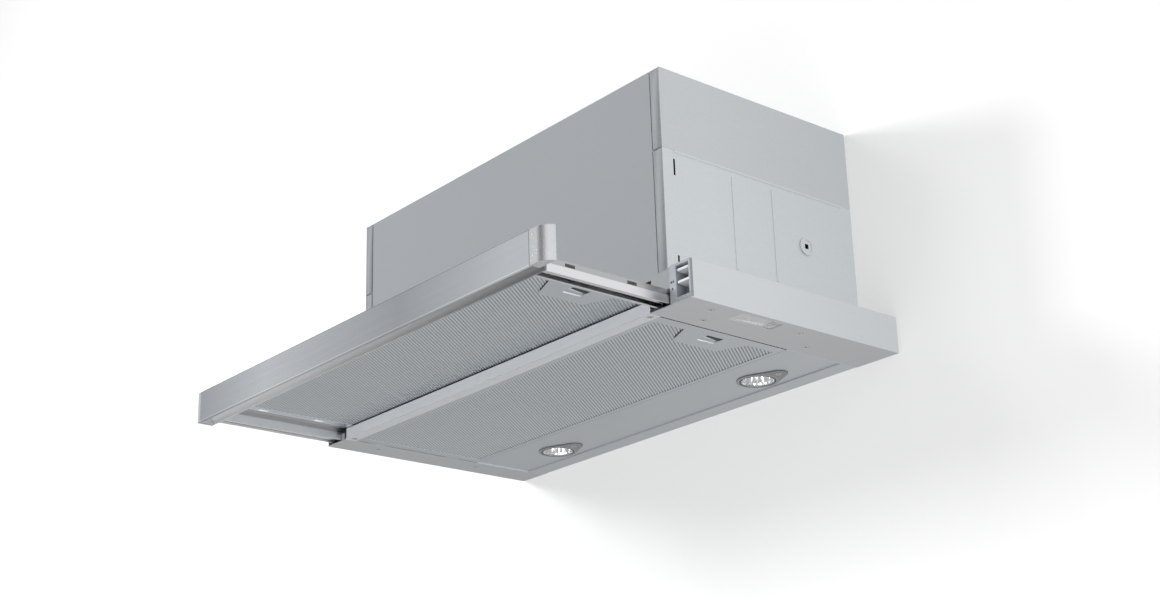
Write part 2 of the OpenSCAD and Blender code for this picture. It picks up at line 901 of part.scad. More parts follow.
module filter_latch(y, z) {
    mid = (y[0] + y[1]) / 2;
    color("dimgray")
        union() {
            box3([latch_x[0], filter_x[1] - frame_wall - latch_fit],
                [mid - latch_w / 2 + latch_fit, mid + latch_w / 2 - latch_fit],
                [z + latch_z, z + latch_z + latch_t]);
            box3([latch_x[0], latch_x[0] + latch_lip_t],
                [mid - latch_w / 2 + latch_fit, mid + latch_w / 2 - latch_fit],
                [z + frame_floor + latch_fit, z + latch_z + latch_t]);
            box3([filter_x[1] - frame_wall - rail_w, latch_x[1]],
                [mid - tongue_w / 2, mid + tongue_w / 2],
                [z + tongue_z, z + latch_z]);
        }
}

module drawer_filter_frame() {
    filter_frame(drawer_filter_y, drawer_filter_z);
}

module drawer_filter_mesh() {
    filter_mesh(drawer_filter_y, drawer_filter_z);
}

module drawer_latch() {
    filter_latch(drawer_filter_y, drawer_filter_z);
}

module fixed_filter_frame() {
    filter_frame(fixed_filter_y, fixed_z);
}

module fixed_filter_mesh() {
    filter_mesh(fixed_filter_y, fixed_z);
}

module fixed_latch() {
    filter_latch(fixed_filter_y, fixed_z);
}

// Lamps
bezel_tail_r = 10;
glass_t = 1.6;
rim_w = 3;
reflector_top = 22;
reflector_neck_r = 7;
reflector_t = 0.8;
bulb_r = 4.5;
bulb_z = [7, 20];
bulb_base_r = 3;
holder_r = 9;
holder_h = 13;
plate_top = bezel_t + sheet_t;

module lamp_bezel(x) {
    lean = acos((bezel_r - bezel_tail_r) / bezel_screw_x);
    color("gainsboro")
        translate([x, lamp_y, 0])
            linear_extrude(bezel_t)
                difference() {
                    union() {
                        circle(bezel_r);
                        translate([bezel_screw_x, 0])
                            circle(bezel_tail_r);
                        polygon([[bezel_r * cos(lean), bezel_r * sin(lean)],
                            [bezel_r * cos(lean), -bezel_r * sin(lean)],
                            [bezel_screw_x + bezel_tail_r * cos(lean), -bezel_tail_r * sin(lean)],
                            [bezel_screw_x + bezel_tail_r * cos(lean), bezel_tail_r * sin(lean)]]);
                    }
                    circle(glass_r);
                    translate([bezel_screw_x, 0])
                        circle(screw_head_r + fit);
                }
}

module lamp_glass(x) {
    color("azure")
        rod_z(x, lamp_y, [plate_top - glass_t, plate_top - running], glass_r - fit);
}

module reflector(x) {
    color("gainsboro")
        translate([x, lamp_y, 0])
            rotate_extrude()
                polygon([[glass_r - rim_w, plate_top], [glass_r + rim_w, plate_top],
                    [glass_r + rim_w, plate_top + reflector_t],
                    [glass_r, plate_top + reflector_t],
                    [reflector_neck_r + reflector_t, reflector_top],
                    [reflector_neck_r, reflector_top],
                    [glass_r - rim_w, plate_top + reflector_t]]);
}

module bulbs() {
    color("azure")
        for (x = lamp_xs) {
            rod_z(x, lamp_y, bulb_z, bulb_r);
            rod_z(x, lamp_y, [bulb_z[1], reflector_top + holder_h / 2], bulb_base_r);
        }
}

module lampholders() {
    color("white")
        for (x = lamp_xs) {
            difference() {
                rod_z(x, lamp_y, [reflector_top, reflector_top + holder_h], holder_r);
                rod_z(x, lamp_y, [reflector_top - over, reflector_top + holder_h / 2 + running],
                    bulb_base_r + running);
            }
        }
}

module lamp_bezel_right() {
    lamp_bezel(lamp_xs[1]);
}

module lamp_bezel_left() {
    lamp_bezel(lamp_xs[0]);
}

module lamp_glass_right() {
    lamp_glass(lamp_xs[1]);
}

module lamp_glass_left() {
    lamp_glass(lamp_xs[0]);
}

module reflector_right() {
    reflector(lamp_xs[1]);
}

module reflector_left() {
    reflector(lamp_xs[0]);
}

// Scroll housing in two halves around the fan wheel
scroll_wall = 2;
tongue_gap = 6;
scroll_growth = 30;
scroll_start = 70;
scroll_step = 10;
throat_share = 0.82;
drop_share = 1.2;
scroll_r = wheel_r + tongue_gap + scroll_growth;
flange_half = collar_screw_r + screw_head_r;
throat_d = scroll_r * throat_share;
fan_y = outlet_y - scroll_r + throat_d / 2;
fan_z = casing_top - sheet_t - scroll_r * drop_share;
ring_w = 12;
inlet_r = wheel_r - ring_w;
inlet_lip = 3;

function scroll_radius(a, wall) =
    wheel_r + tongue_gap + wall + scroll_growth * (a - scroll_start) / (360 - scroll_start);

module scroll_outline(wall, top) {
    polygon(concat(
        [for (a = [scroll_start : scroll_step : 360])
            [scroll_radius(a, wall) * cos(a), scroll_radius(a, wall) * sin(a)]],
        [[scroll_r + wall, top], [scroll_r - throat_d - wall, top]]));
}

module scroll_half() {
    top = casing_top - sheet_t - fan_z;
    translate([0, fan_y, fan_z])
        rotate([90, 0, 90])
            difference() {
                union() {
                    difference() {
                        linear_extrude(scroll_w / 2)
                            scroll_outline(scroll_wall, top);
                        translate([0, 0, -over])
                            linear_extrude(scroll_w / 2 - scroll_wall + over)
                                scroll_outline(0, top + over);
                    }
                    cylinder(r = inlet_r + inlet_lip, h = scroll_w / 2 + inlet_lip);
                }
                translate([0, 0, -over])
                    cylinder(r = inlet_r, h = scroll_w / 2 + inlet_lip + 2 * over);
                translate([0, 0, -over])
                    cylinder(r = inlet_r + inlet_lip + over,
                        h = scroll_w / 2 - scroll_wall + over);
            }
}

// Flange that hangs the scroll housing from the casing's top
module scroll_flange() {
    difference() {
        box3([0, flange_half], [outlet_y - flange_half, outlet_y + flange_half],
            [casing_top - sheet_t - scroll_wall, casing_top - sheet_t]);
        box3([-over, scroll_w / 2 - scroll_wall],
            [outlet_y - throat_d / 2, outlet_y + throat_d / 2],
            [casing_top - sheet_t - scroll_wall - over, casing_top]);
        collar_screw_holes([casing_top - sheet_t - scroll_wall - over, casing_top]);
    }
}

module volute() {
    color("whitesmoke")
        union() {
            scroll_half();
            scroll_flange();
        }
}

module volute_right() {
    volute();
}

module volute_left() {
    mirror([1, 0, 0]) volute();
}

// Double sided fan wheel on the motor's shaft
hub_r = 10;
hub_l = 16;
disc_t = 2;
blade_t = 1.6;
blade_inset = 1;
bush_l = 5;
motor_gap = 6;
motor_x = [-scroll_w / 2 - bush_l, -motor_gap];
bracket_t = 3;
bush_r = 5;
bush_radius = inlet_r + 2 * bush_r;
nut_h = 4;

module fan_wheel() {
    color("whitesmoke")
        translate([0, fan_y, fan_z])
            difference() {
                union() {
                    rod_x([-disc_t - blade_inset, -blade_inset], 0, 0, wheel_r);
                    rod_x([-disc_t - blade_inset, hub_l], 0, 0, hub_r);
                    for (side = [-1, 1]) {
                        difference() {
                            rod_x([side * (wheel_w - disc_t) / 2 - disc_t / 2,
                                side * (wheel_w - disc_t) / 2 + disc_t / 2], 0, 0, wheel_r);
                            rod_x([side * wheel_w / 2 - over - disc_t,
                                side * wheel_w / 2 + over + disc_t], 0, 0, wheel_r - ring_w);
                        }
                    }
                    for (i = [0 : blade_count - 1]) {
                        rotate([i * 360 / blade_count, 0, 0])
                            box3([disc_t / 2 - wheel_w / 2, wheel_w / 2 - disc_t / 2],
                                [-blade_t / 2, blade_t / 2],
                                [wheel_r - ring_w + blade_inset, wheel_r - blade_inset]);
                    }
                }
                rod_x([-wheel_w, wheel_w], 0, 0, shaft_r + running);
            }
}

module motor() {
    color("dimgray")
        translate([0, fan_y, fan_z])
            difference() {
                rod_x(motor_x, 0, 0, motor_r);
                rod_x([motor_x[0] + bracket_t, motor_x[1] + over], 0, 0, shaft_r + running);
            }
}

module motor_shaft() {
    color("gainsboro")
        translate([0, fan_y, fan_z]) {
            rod_x([motor_x[0] + bracket_t + fit, hub_l + nut_h], 0, 0, shaft_r);
            rod_x([hub_l, hub_l + nut_h], 0, 0, shaft_r + 2 * sheet_t);
        }
}

module motor_bracket() {
    color("silver")
        translate([motor_x[0] - bracket_t, fan_y, fan_z])
            rotate([90, 0, 90])
                linear_extrude(bracket_t)
                    difference() {
                        union() {
                            circle(motor_r);
                            for (i = [0 : 2]) {
                                rotate(90 + i * 120)
                                    translate([0, -bush_r])
                                        square([bush_radius + bush_r, 2 * bush_r]);
                            }
                        }
                        circle(motor_r / 2);
                        for (i = [0 : 2]) {
                            rotate(90 + i * 120)
                                translate([bush_radius, 0])
                                    circle(screw_r);
                        }
                    }
}

module motor_bushes() {
    color("black")
        translate([0, fan_y, fan_z])
            for (i = [0 : 2]) {
                rotate([90 + i * 120, 0, 0])
                    rod_x([motor_x[0], -scroll_w / 2], bush_radius, 0, bush_r);
            }
}

// Electrical parts on the back wall
wall_y = back_y - sheet_t;
box_size = [80, 38, 55];
box_inset = 122;
shelf_drop = 105;
box_place = [casing_x - box_inset, casing_top - shelf_drop];
transformer_size = [62, 40, 44];
transformer_inset = 52;
transformer_place = [transformer_inset - casing_x, casing_top - shelf_drop];
capacitor_r = 15;
capacitor_l = 55;
capacitor_inset = 137;
capacitor_drop = 83;
capacitor_place = [capacitor_inset - casing_x, casing_top - capacitor_drop];
saddle_w = 20;

module control_box() {
    color("white")
        box3([box_place[0], box_place[0] + box_size[0]], [wall_y - box_size[1], wall_y],
            [box_place[1], box_place[1] + box_size[2]]);
}

module transformer() {
    color("dimgray")
        box3([transformer_place[0], transformer_place[0] + transformer_size[0]],
            [wall_y - transformer_size[1], wall_y],
            [transformer_place[1], transformer_place[1] + transformer_size[2]]);
}

module capacitor() {
    color("white")
        union() {
            rod_x([capacitor_place[0], capacitor_place[0] + capacitor_l],
                wall_y - capacitor_r - sheet_t, capacitor_place[1], capacitor_r);
            box3([capacitor_place[0] + saddle_w, capacitor_place[0] + 2 * saddle_w - fit],
                [wall_y - capacitor_r, wall_y],
                [capacitor_place[1] - capacitor_r / 2, capacitor_place[1] + capacitor_r / 2]);
        }
}

// Duct collar with its flap pin, and the two non-return flaps
flap_rise = 11;
flap_gap = 1.5;
flap_z = casing_top + flap_rise;
pin_r = 1.5;
knuckle_r = 3;
flap_t = 1;
flap_r = collar_r - collar_t - flap_gap;
knuckle_half = 23;
knuckle_end = 62;

module outlet_collar() {
    color("whitesmoke")
        union() {
            difference() {
                union() {
                    rod_z(0, outlet_y, [casing_top, casing_top + collar_t],
                        collar_r + collar_flange_w);
                    rod_z(0, outlet_y, [casing_top, casing_top + collar_h], collar_r);
                }
                rod_z(0, outlet_y, [casing_top - over, casing_top + collar_h + over],
                    collar_r - collar_t);
                collar_screw_holes([casing_top - over, casing_top + collar_t + over]);
            }
            rod_x([collar_t / 2 - collar_r, collar_r - collar_t / 2], outlet_y, flap_z, pin_r);
        }
}

// A half disc flap on the +Y side of the pin, with knuckles over the given stretches
module flap(stretches) {
    difference() {
        union() {
            translate([0, 0, -flap_t / 2])
                linear_extrude(flap_t)
                    intersection() {
                        circle(flap_r);
                        translate([-flap_r, knuckle_r + fit])
                            square([2 * flap_r, flap_r]);
                    }
            for (s = stretches) {
                box3(s, [0, knuckle_r + 2 * fit], [-flap_t / 2, flap_t / 2]);
                rod_x(s, 0, 0, knuckle_r);
            }
        }
        rod_x([-collar_r, collar_r], 0, 0, pin_r + running);
    }
}

module flap_rear() {
    color("whitesmoke")
        translate([0, outlet_y, flap_z])
            flap([[-knuckle_half, knuckle_half]]);
}

module flap_front() {
    color("whitesmoke")
        translate([0, outlet_y, flap_z])
            mirror([0, 1, 0])
                flap([[-knuckle_end, -knuckle_half - fit], [knuckle_half + fit, knuckle_end]]);
}

// Screws of the underside and of the lamps, heads flush, and those of the duct collar
screw_head_h = 1.5;

module screw(x, y, tip) {
    rod_z(x, y, [0, sheet_t], screw_head_r);
    rod_z(x, y, [sheet_t, tip], screw_r);
}

module collar_screw(x, y) {
    rod_z(x, y, [casing_top + collar_t, casing_top + collar_t + screw_head_h], screw_head_r);
    rod_z(x, y, [casing_top - sheet_t - scroll_wall - sheet_t, casing_top + collar_t], screw_r);
}

module screws() {
    color("gainsboro") {
        for (y = slide_screw_ys) {
            screw(slide_screw_x, y, 2 * sheet_t);
            screw(left_screw_x, y, 2 * sheet_t);
        }
        for (y = clamp_screw_ys) {
            screw(clamp_screw_x, y, sheet_t + clamp_wall);
        }
        for (x = crossbar_screw_xs) {
            screw(x, crossbar_screw_y, 3 * sheet_t);
        }
        for (x = lamp_xs) {
            screw(x + bezel_screw_x, lamp_y, plate_top + sheet_t);
        }
        for (a = [45 : 90 : 360]) {
            collar_screw(collar_screw_r * cos(a), outlet_y + collar_screw_r * sin(a));
        }
    }
}

// Gland where the mains lead enters
gland_flange_r = 12;
gland_up = 12;
gland_down = 8;
gland_nut = 4;

module cable_gland() {
    color("dimgray")
        translate([gland_x, gland_y, 0])
            difference() {
                union() {
                    rod_z(0, 0, [casing_top - sheet_t - gland_down, casing_top + gland_up],
                        gland_r);
                    rod_z(0, 0, [casing_top, casing_top + collar_t], gland_flange_r);
                    rod_z(0, 0, [casing_top - sheet_t - gland_nut, casing_top - sheet_t],
                        gland_flange_r);
                }
                rod_z(0, 0, [casing_top - gland_down - over - sheet_t,
                    casing_top + gland_up + over], gland_bore_r);
            }
}

arm_right();
arm_left();
crossbar();
fascia();
lamp_panel();
rear_strip();
casing_front();
casing_back();
casing_top_plate();
side_right_lower();
side_right_upper();
side_left_lower();
side_left_upper();
switch_panel();
switch_block();
light_knob();
speed_knob();
cabinet_clamp();
drawer_front();
grip_profile();
end_cap_right();
end_cap_left();
channel_right();
channel_left();
drawer_rear_bar();
slide_inner_right();
slide_inner_left();
ball_cage_right();
ball_cage_left();
slide_outer_right();
slide_outer_left();
drawer_filter_frame();
drawer_filter_mesh();
drawer_latch();
fixed_filter_frame();
fixed_filter_mesh();
fixed_latch();
lamp_bezel_right();
lamp_bezel_left();
lamp_glass_right();
lamp_glass_left();
reflector_right();
reflector_left();
bulbs();
lampholders();
volute_right();
volute_left();
fan_wheel();
motor();
motor_shaft();
motor_bracket();
motor_bushes();
capacitor();
control_box();
transformer();
outlet_collar();
flap_front();
flap_rear();
screws();
cable_gland();
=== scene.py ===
import json
import math

import bmesh
import bpy
from mathutils import Matrix, Vector


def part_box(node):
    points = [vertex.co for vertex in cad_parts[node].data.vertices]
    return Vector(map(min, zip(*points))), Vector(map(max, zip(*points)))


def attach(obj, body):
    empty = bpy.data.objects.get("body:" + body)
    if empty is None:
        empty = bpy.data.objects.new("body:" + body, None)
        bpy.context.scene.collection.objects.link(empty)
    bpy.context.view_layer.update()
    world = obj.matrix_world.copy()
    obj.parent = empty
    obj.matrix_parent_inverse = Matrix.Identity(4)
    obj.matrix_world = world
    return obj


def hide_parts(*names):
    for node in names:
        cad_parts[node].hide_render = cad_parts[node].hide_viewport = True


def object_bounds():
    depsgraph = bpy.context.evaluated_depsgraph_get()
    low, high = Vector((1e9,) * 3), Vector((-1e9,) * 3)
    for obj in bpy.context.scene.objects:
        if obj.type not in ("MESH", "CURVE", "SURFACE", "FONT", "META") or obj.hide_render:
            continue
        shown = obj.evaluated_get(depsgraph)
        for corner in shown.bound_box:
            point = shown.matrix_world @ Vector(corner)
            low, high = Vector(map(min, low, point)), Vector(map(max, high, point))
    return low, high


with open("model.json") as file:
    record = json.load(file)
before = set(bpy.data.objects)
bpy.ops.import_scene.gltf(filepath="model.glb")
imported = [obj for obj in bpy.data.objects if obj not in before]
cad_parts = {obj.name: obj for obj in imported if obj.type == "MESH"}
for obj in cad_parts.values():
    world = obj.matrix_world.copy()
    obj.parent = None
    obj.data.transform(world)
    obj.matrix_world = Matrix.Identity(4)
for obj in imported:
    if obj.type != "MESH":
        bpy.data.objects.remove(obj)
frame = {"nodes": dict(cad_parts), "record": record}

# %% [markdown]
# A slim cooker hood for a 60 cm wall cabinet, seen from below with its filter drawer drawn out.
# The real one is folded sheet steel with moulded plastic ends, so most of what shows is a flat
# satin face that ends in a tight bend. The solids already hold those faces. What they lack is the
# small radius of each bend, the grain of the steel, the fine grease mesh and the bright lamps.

nodes = frame["nodes"]
cad_low, cad_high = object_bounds()
print("solids", [round(v, 4) for v in (*cad_low, *cad_high)])

# %% [markdown]
# The camera stands low on the right and looks up. Its place, lens and tilt come from fitting the
# photograph's straight edges, so they are written as a position, three angles and a focal length
# in pixels of the 1160 pixel wide picture.

# %% Camera
picture_width_px = 1160
focal_px = 1861.3
camera_place = Vector((1.4253, -1.1481, -0.5712))
camera_yaw, camera_pitch, camera_roll = 0.865, 0.350, -0.031


def make_camera():
    yaw, pitch, roll = camera_yaw, camera_pitch, camera_roll
    forward = Vector((-math.sin(yaw) * math.cos(pitch), math.cos(yaw) * math.cos(pitch),
                      math.sin(pitch)))
    level = forward.cross(Vector((0, 0, 1))).normalized()
    upright = level.cross(forward)
    right = math.cos(roll) * level + math.sin(roll) * upright
    up = math.cos(roll) * upright - math.sin(roll) * level
    data = bpy.data.cameras.new("camera")
    data.sensor_width = 36
    data.lens = data.sensor_width * focal_px / picture_width_px
    data.clip_start, data.clip_end = 0.01, 50
    camera = bpy.data.objects.new("camera", data)
    turned = Matrix((right, up, -forward)).transposed().to_4x4()
    camera.matrix_world = Matrix.Translation(camera_place) @ turned
    bpy.context.scene.collection.objects.link(camera)
    bpy.context.scene.camera = camera
    return camera


print("camera", make_camera().data.lens)

# %% [markdown]
# A material is a Principled shader with its constants on its own sockets. The helpers below only
# save typing: one adds a node with values, and one wires an output to an input.

# %% Helpers for materials
def add_node(tree, kind, **values):
    node = tree.nodes.new(kind)
    for name, value in values.items():
        setattr(node, name, value)
    return node


def wire(tree, source, target):
    tree.links.new(source, target)


def new_material(name, color, metallic, roughness):
    material = bpy.data.materials.new(name)
    material.use_nodes = True
    shader = material.node_tree.nodes["Principled BSDF"]
    shader.inputs["Base Color"].default_value = (*color, 1)
    shader.inputs["Metallic"].default_value = metallic
    shader.inputs["Roughness"].default_value = roughness
    return material, material.node_tree, shader


def new_group(name, inputs, outputs):
    group = bpy.data.node_groups.new(name, "ShaderNodeTree")
    for label, kind, value in inputs:
        socket = group.interface.new_socket(label, in_out="INPUT", socket_type=kind)
        socket.default_value = value
    for label, kind in outputs:
        group.interface.new_socket(label, in_out="OUTPUT", socket_type=kind)
    return group, group.nodes.new("NodeGroupInput"), group.nodes.new("NodeGroupOutput")


def map_range(tree, source, low, high):
    node = add_node(tree, "ShaderNodeMapRange")
    node.inputs["To Min"].default_value = low
    node.inputs["To Max"].default_value = high
    wire(tree, source, node.inputs["Value"])
    return node.outputs["Result"]


def scale_value(tree, source, share):
    node = add_node(tree, "ShaderNodeMath", operation="MULTIPLY")
    wire(tree, source, node.inputs[0])
    if isinstance(share, (int, float)):
        node.inputs[1].default_value = share
    else:
        wire(tree, share, node.inputs[1])
    return node.outputs[0]


def add_values(tree, first, second):
    node = add_node(tree, "ShaderNodeMath", operation="ADD")
    wire(tree, first, node.inputs[0])
    wire(tree, second, node.inputs[1])
    return node.outputs[0]


print("helpers for nodes, links, groups, ranges, products and sums")

# %% [markdown]
# Satin steel is rolled and then brushed, which leaves fine lines in one direction. On this hood
# they run along its width, and front to back on its two sides. The group looks at the face's
# normal to pick the direction, stretches a noise along it, and adds a slow cloud for the faint
# unevenness that a large sheet shows.

# %% Brushed grain
grain_stretch = 0.012
side_facing = 0.7
cloud_scale, speck_scale = 5.0, 1400.0


def brushed_grain():
    group, given, made = new_group(
        "brushed grain",
        [("Fineness", "NodeSocketFloat", 900.0)],
        [("Grain", "NodeSocketFloat"), ("Cloud", "NodeSocketFloat"), ("Speck", "NodeSocketFloat")])
    place = add_node(group, "ShaderNodeTexCoord")
    facing = add_node(group, "ShaderNodeNewGeometry")
    split = add_node(group, "ShaderNodeSeparateXYZ")
    wire(group, facing.outputs["Normal"], split.inputs[0])
    sideways = add_node(group, "ShaderNodeMath", operation="ABSOLUTE")
    wire(group, split.outputs["X"], sideways.inputs[0])
    is_side = add_node(group, "ShaderNodeMath", operation="GREATER_THAN")
    is_side.inputs[1].default_value = side_facing
    wire(group, sideways.outputs[0], is_side.inputs[0])
    stretches = []
    for stretch in ((grain_stretch, 1.0, 1.0), (1.0, grain_stretch, 1.0)):
        mapping = add_node(group, "ShaderNodeMapping")
        mapping.inputs["Scale"].default_value = stretch
        wire(group, place.outputs["Object"], mapping.inputs["Vector"])
        noise = add_node(group, "ShaderNodeTexNoise")
        noise.inputs["Detail"].default_value = 3
        wire(group, given.outputs["Fineness"], noise.inputs["Scale"])
        wire(group, mapping.outputs[0], noise.inputs["Vector"])
        stretches.append(noise.outputs["Fac"])
    pick = add_node(group, "ShaderNodeMix", data_type="FLOAT")
    wire(group, is_side.outputs[0], pick.inputs["Factor"])
    wire(group, stretches[0], pick.inputs["A"])
    wire(group, stretches[1], pick.inputs["B"])
    wire(group, pick.outputs["Result"], made.inputs["Grain"])
    for label, scale in (("Cloud", cloud_scale), ("Speck", speck_scale)):
        noise = add_node(group, "ShaderNodeTexNoise")
        noise.inputs["Scale"].default_value = scale
        noise.inputs["Detail"].default_value = 2.0
        wire(group, place.outputs["Object"], noise.inputs["Vector"])
        wire(group, noise.outputs["Fac"], made.inputs[label])
    return group


grain_group = brushed_grain()
print("grain group", len(grain_group.nodes), "nodes")

# %% [markdown]
# A long sheet is seldom lit evenly. It falls off where it nears the wall, and a groove deepens
# towards its shaded end. This group paints such light and shade into the colour, between two
# places along a chosen direction.

# %% Soft fade
def soft_fade():
    group, given, made = new_group(
        "painted light fade",
        [("Along", "NodeSocketVector", (1, 0, 0)), ("Start", "NodeSocketFloat", 0.0),
         ("End", "NodeSocketFloat", 1.0), ("Start Shade", "NodeSocketFloat", 1.0),
         ("End Shade", "NodeSocketFloat", 1.0)],
        [("Shade", "NodeSocketFloat")])
    place = add_node(group, "ShaderNodeTexCoord")
    reach = add_node(group, "ShaderNodeVectorMath", operation="DOT_PRODUCT")
    wire(group, place.outputs["Object"], reach.inputs[0])
    wire(group, given.outputs["Along"], reach.inputs[1])
    blend = add_node(group, "ShaderNodeMapRange")
    wire(group, reach.outputs["Value"], blend.inputs["Value"])
    for label, socket in (("Start", "From Min"), ("End", "From Max"), ("Start Shade", "To Min"),
                          ("End Shade", "To Max")):
        wire(group, given.outputs[label], blend.inputs[socket])
    wire(group, blend.outputs["Result"], made.inputs["Shade"])
    return group


fade_group = soft_fade()
print("fade group", len(fade_group.nodes), "nodes")


def faded(tree, fade):
    node = add_node(tree, "ShaderNodeGroup", node_tree=fade_group)
    labels = ("Along", "Start", "End", "Start Shade", "End Shade")
    for label, value in zip(labels, fade):
        node.inputs[label].default_value = value
    return node.outputs["Shade"]


# %% [markdown]
# One recipe then gives every metal: the grain moves the colour a little and the roughness a
# little more, and raises a very shallow bump. The values decide whether it reads as brushed
# steel, bright zinc or dull casing sheet.

# %% Metal recipe
grain_relief = 0.35
rough_spread = 0.06


def metal(name, color, roughness, metallic=1.0, fineness=900.0, tone=0.05, bump=0.00002,
          speck=0.02, fades=()):
    material, tree, shader = new_material(name, color, metallic, roughness)
    grain = add_node(tree, "ShaderNodeGroup", node_tree=grain_group)
    grain.inputs["Fineness"].default_value = fineness
    light = map_range(tree, grain.outputs["Grain"], 1 - tone, 1 + tone)
    cloud = map_range(tree, grain.outputs["Cloud"], 1 - tone / 2, 1 + tone / 2)
    specks = map_range(tree, grain.outputs["Speck"], 1 - speck, 1 + speck)
    shade = scale_value(tree, scale_value(tree, light, cloud), specks)
    # Each fade paints light or shade into the colour along the piece.
    for fade in fades:
        shade = scale_value(tree, shade, faded(tree, fade))
    tint = add_node(tree, "ShaderNodeVectorMath", operation="SCALE")
    tint.inputs[0].default_value = color
    wire(tree, shade, tint.inputs["Scale"])
    wire(tree, tint.outputs[0], shader.inputs["Base Color"])
    rough = map_range(tree, grain.outputs["Grain"], roughness - rough_spread,
                      roughness + rough_spread)
    wire(tree, rough, shader.inputs["Roughness"])
    relief = add_node(tree, "ShaderNodeBump")
    relief.inputs["Strength"].default_value = grain_relief
    relief.inputs["Distance"].default_value = bump
    wire(tree, grain.outputs["Grain"], relief.inputs["Height"])
    wire(tree, relief.outputs[0], shader.inputs["Normal"])
    return material


print("metal recipe reads", grain_group.name, "and", fade_group.name)

# %% [markdown]
# Each fade is a direction, two places along it in metres and the shade at each. They paint into
# the colour what a plain studio does not give: painted shade on the side sheets near the wall,
# painted reflection bands across the front with a painted highlight on its lowest edge and darker
# lines at its top edge and past the cap's seam, and painted shade under a lip or a bar and towards
# the grip's far end. A fade follows the piece, so it stays put in any view. The greys and the
# roughness were then set sheet by sheet, next to the photograph.

# %% Fades and metals
along_x, along_y, along_z = (1, 0, 0), (0, 1, 0), (0, 0, 1)
# Painted shade: near the wall, above the channel's lip and towards the grip's right end.
painted_wall_shade = (along_y, 0.02, 0.225, 1.0, 0.90)
painted_lip_shade = (along_z, 0.0098, 0.0102, 1.0, 0.62)
painted_end_shade = (along_x, -0.15, 0.27, 1.0, 0.36)
# Painted reflection bands across the front, a painted highlight on its lowest millimetre, and
# darker at its top edge and past the cap's seam.
painted_front_light = [(along_x, -0.285, -0.160, 0.68, 1.0), (along_x, -0.155, 0.075, 1.0, 0.62),
               (along_x, 0.085, 0.245, 1.0, 1.42), (along_z, 0.0009, 0.0013, 1.35, 1.0),
               (along_z, 0.0320, 0.0325, 1.0, 0.65), (along_x, 0.2740, 0.2744, 1.0, 0.60)]
# Painted shade on the bars' underside.
painted_bar_shade = (along_z, 0.0003, 0.0008, 0.68, 1.03)

front_steel = metal("brushed front", (0.73, 0.77, 0.81), 0.22, tone=0.06, fades=painted_front_light)
panel_steel = metal("panel sheet", (0.64, 0.68, 0.71), 0.42, tone=0.05)
casing_steel = metal("casing sheet", (0.705, 0.745, 0.775), 0.52, tone=0.04, speck=0.16)
side_steel = metal("side sheet", (0.66, 0.695, 0.71), 0.50, tone=0.04, speck=0.16,
                   fades=[painted_wall_shade])
upper_steel = metal("upper side sheet", (0.60, 0.63, 0.65), 0.50, tone=0.04, speck=0.16,
                    fades=[painted_wall_shade])
arm_steel = metal("arm sheet", (0.68, 0.70, 0.72), 0.46, tone=0.05, speck=0.05,
                  fades=[painted_wall_shade])
bar_steel = metal("crossbar sheet", (0.88, 0.90, 0.93), 0.50, metallic=0.5, tone=0.05,
                  fades=[painted_bar_shade])
zinc = metal("bright zinc", (0.80, 0.80, 0.81), 0.26, tone=0.03)
channel_steel = metal("channel sheet", (0.76, 0.76, 0.77), 0.30, tone=0.03, fades=[painted_lip_shade])
# Near-white and nearly matt, so the lamps light the zinc heads brighter than the sheet: a painted
# glint.
zinc_screw_glint = metal("zinc screw painted glint", (0.98, 0.98, 0.98), 0.30, metallic=0.10, tone=0.01, speck=0.0)
grip_metal = metal("grip extrusion", (0.60, 0.61, 0.625), 0.50, metallic=0.5, tone=0.05,
                   fades=[painted_end_shade])
filter_metal = metal("pressed aluminium", (0.66, 0.70, 0.73), 0.40, tone=0.03)
# Near-white, nearly matt strips that stand for edges catching the light: a painted highlight.
painted_highlight = metal("painted highlight strip", (0.92, 0.92, 0.93), 0.30, metallic=0.3, tone=0.02, speck=0.0)
dark_paint = metal("dark paint", (0.05, 0.055, 0.06), 0.5, metallic=0.2)
print("metals", len(bpy.data.materials))

# %% [markdown]
# Moulded plastic has a fine spark-eroded texture rather than grain. A small noise gives the bump,
# and a slow one keeps the colour from being dead flat.

# %% Plastic recipe
slow_scale = 30
plastic_tone = 0.06
plastic_spread = 0.05
moulding_relief = 0.4


def moulded_texture():
    group, given, made = new_group(
        "moulded texture", [("Fineness", "NodeSocketFloat", 1800.0)],
        [("Fine", "NodeSocketFloat"), ("Slow", "NodeSocketFloat")])
    place = add_node(group, "ShaderNodeTexCoord")
    for label in ("Fine", "Slow"):
        noise = add_node(group, "ShaderNodeTexNoise")
        noise.inputs["Scale"].default_value = slow_scale
        if label == "Fine":
            wire(group, given.outputs["Fineness"], noise.inputs["Scale"])
        wire(group, place.outputs["Object"], noise.inputs["Vector"])
        wire(group, noise.outputs["Fac"], made.inputs[label])
    return group


moulded_group = moulded_texture()


def plastic(name, color, roughness, metallic=0.0, bump=0.00003):
    material, tree, shader = new_material(name, color, metallic, roughness)
    texture = add_node(tree, "ShaderNodeGroup", node_tree=moulded_group)
    tint = add_node(tree, "ShaderNodeVectorMath", operation="SCALE")
    tint.inputs[0].default_value = color
    tones = map_range(tree, texture.outputs["Slow"], 1 - plastic_tone, 1 + plastic_tone)
    wire(tree, tones, tint.inputs["Scale"])
    wire(tree, tint.outputs[0], shader.inputs["Base Color"])
    rough = map_range(tree, texture.outputs["Fine"], roughness - plastic_spread,
                      roughness + plastic_spread)
    wire(tree, rough, shader.inputs["Roughness"])
    relief = add_node(tree, "ShaderNodeBump")
    relief.inputs["Strength"].default_value = moulding_relief
    relief.inputs["Distance"].default_value = bump
    wire(tree, texture.outputs["Fine"], relief.inputs["Height"])
    wire(tree, relief.outputs[0], shader.inputs["Normal"])
    return material


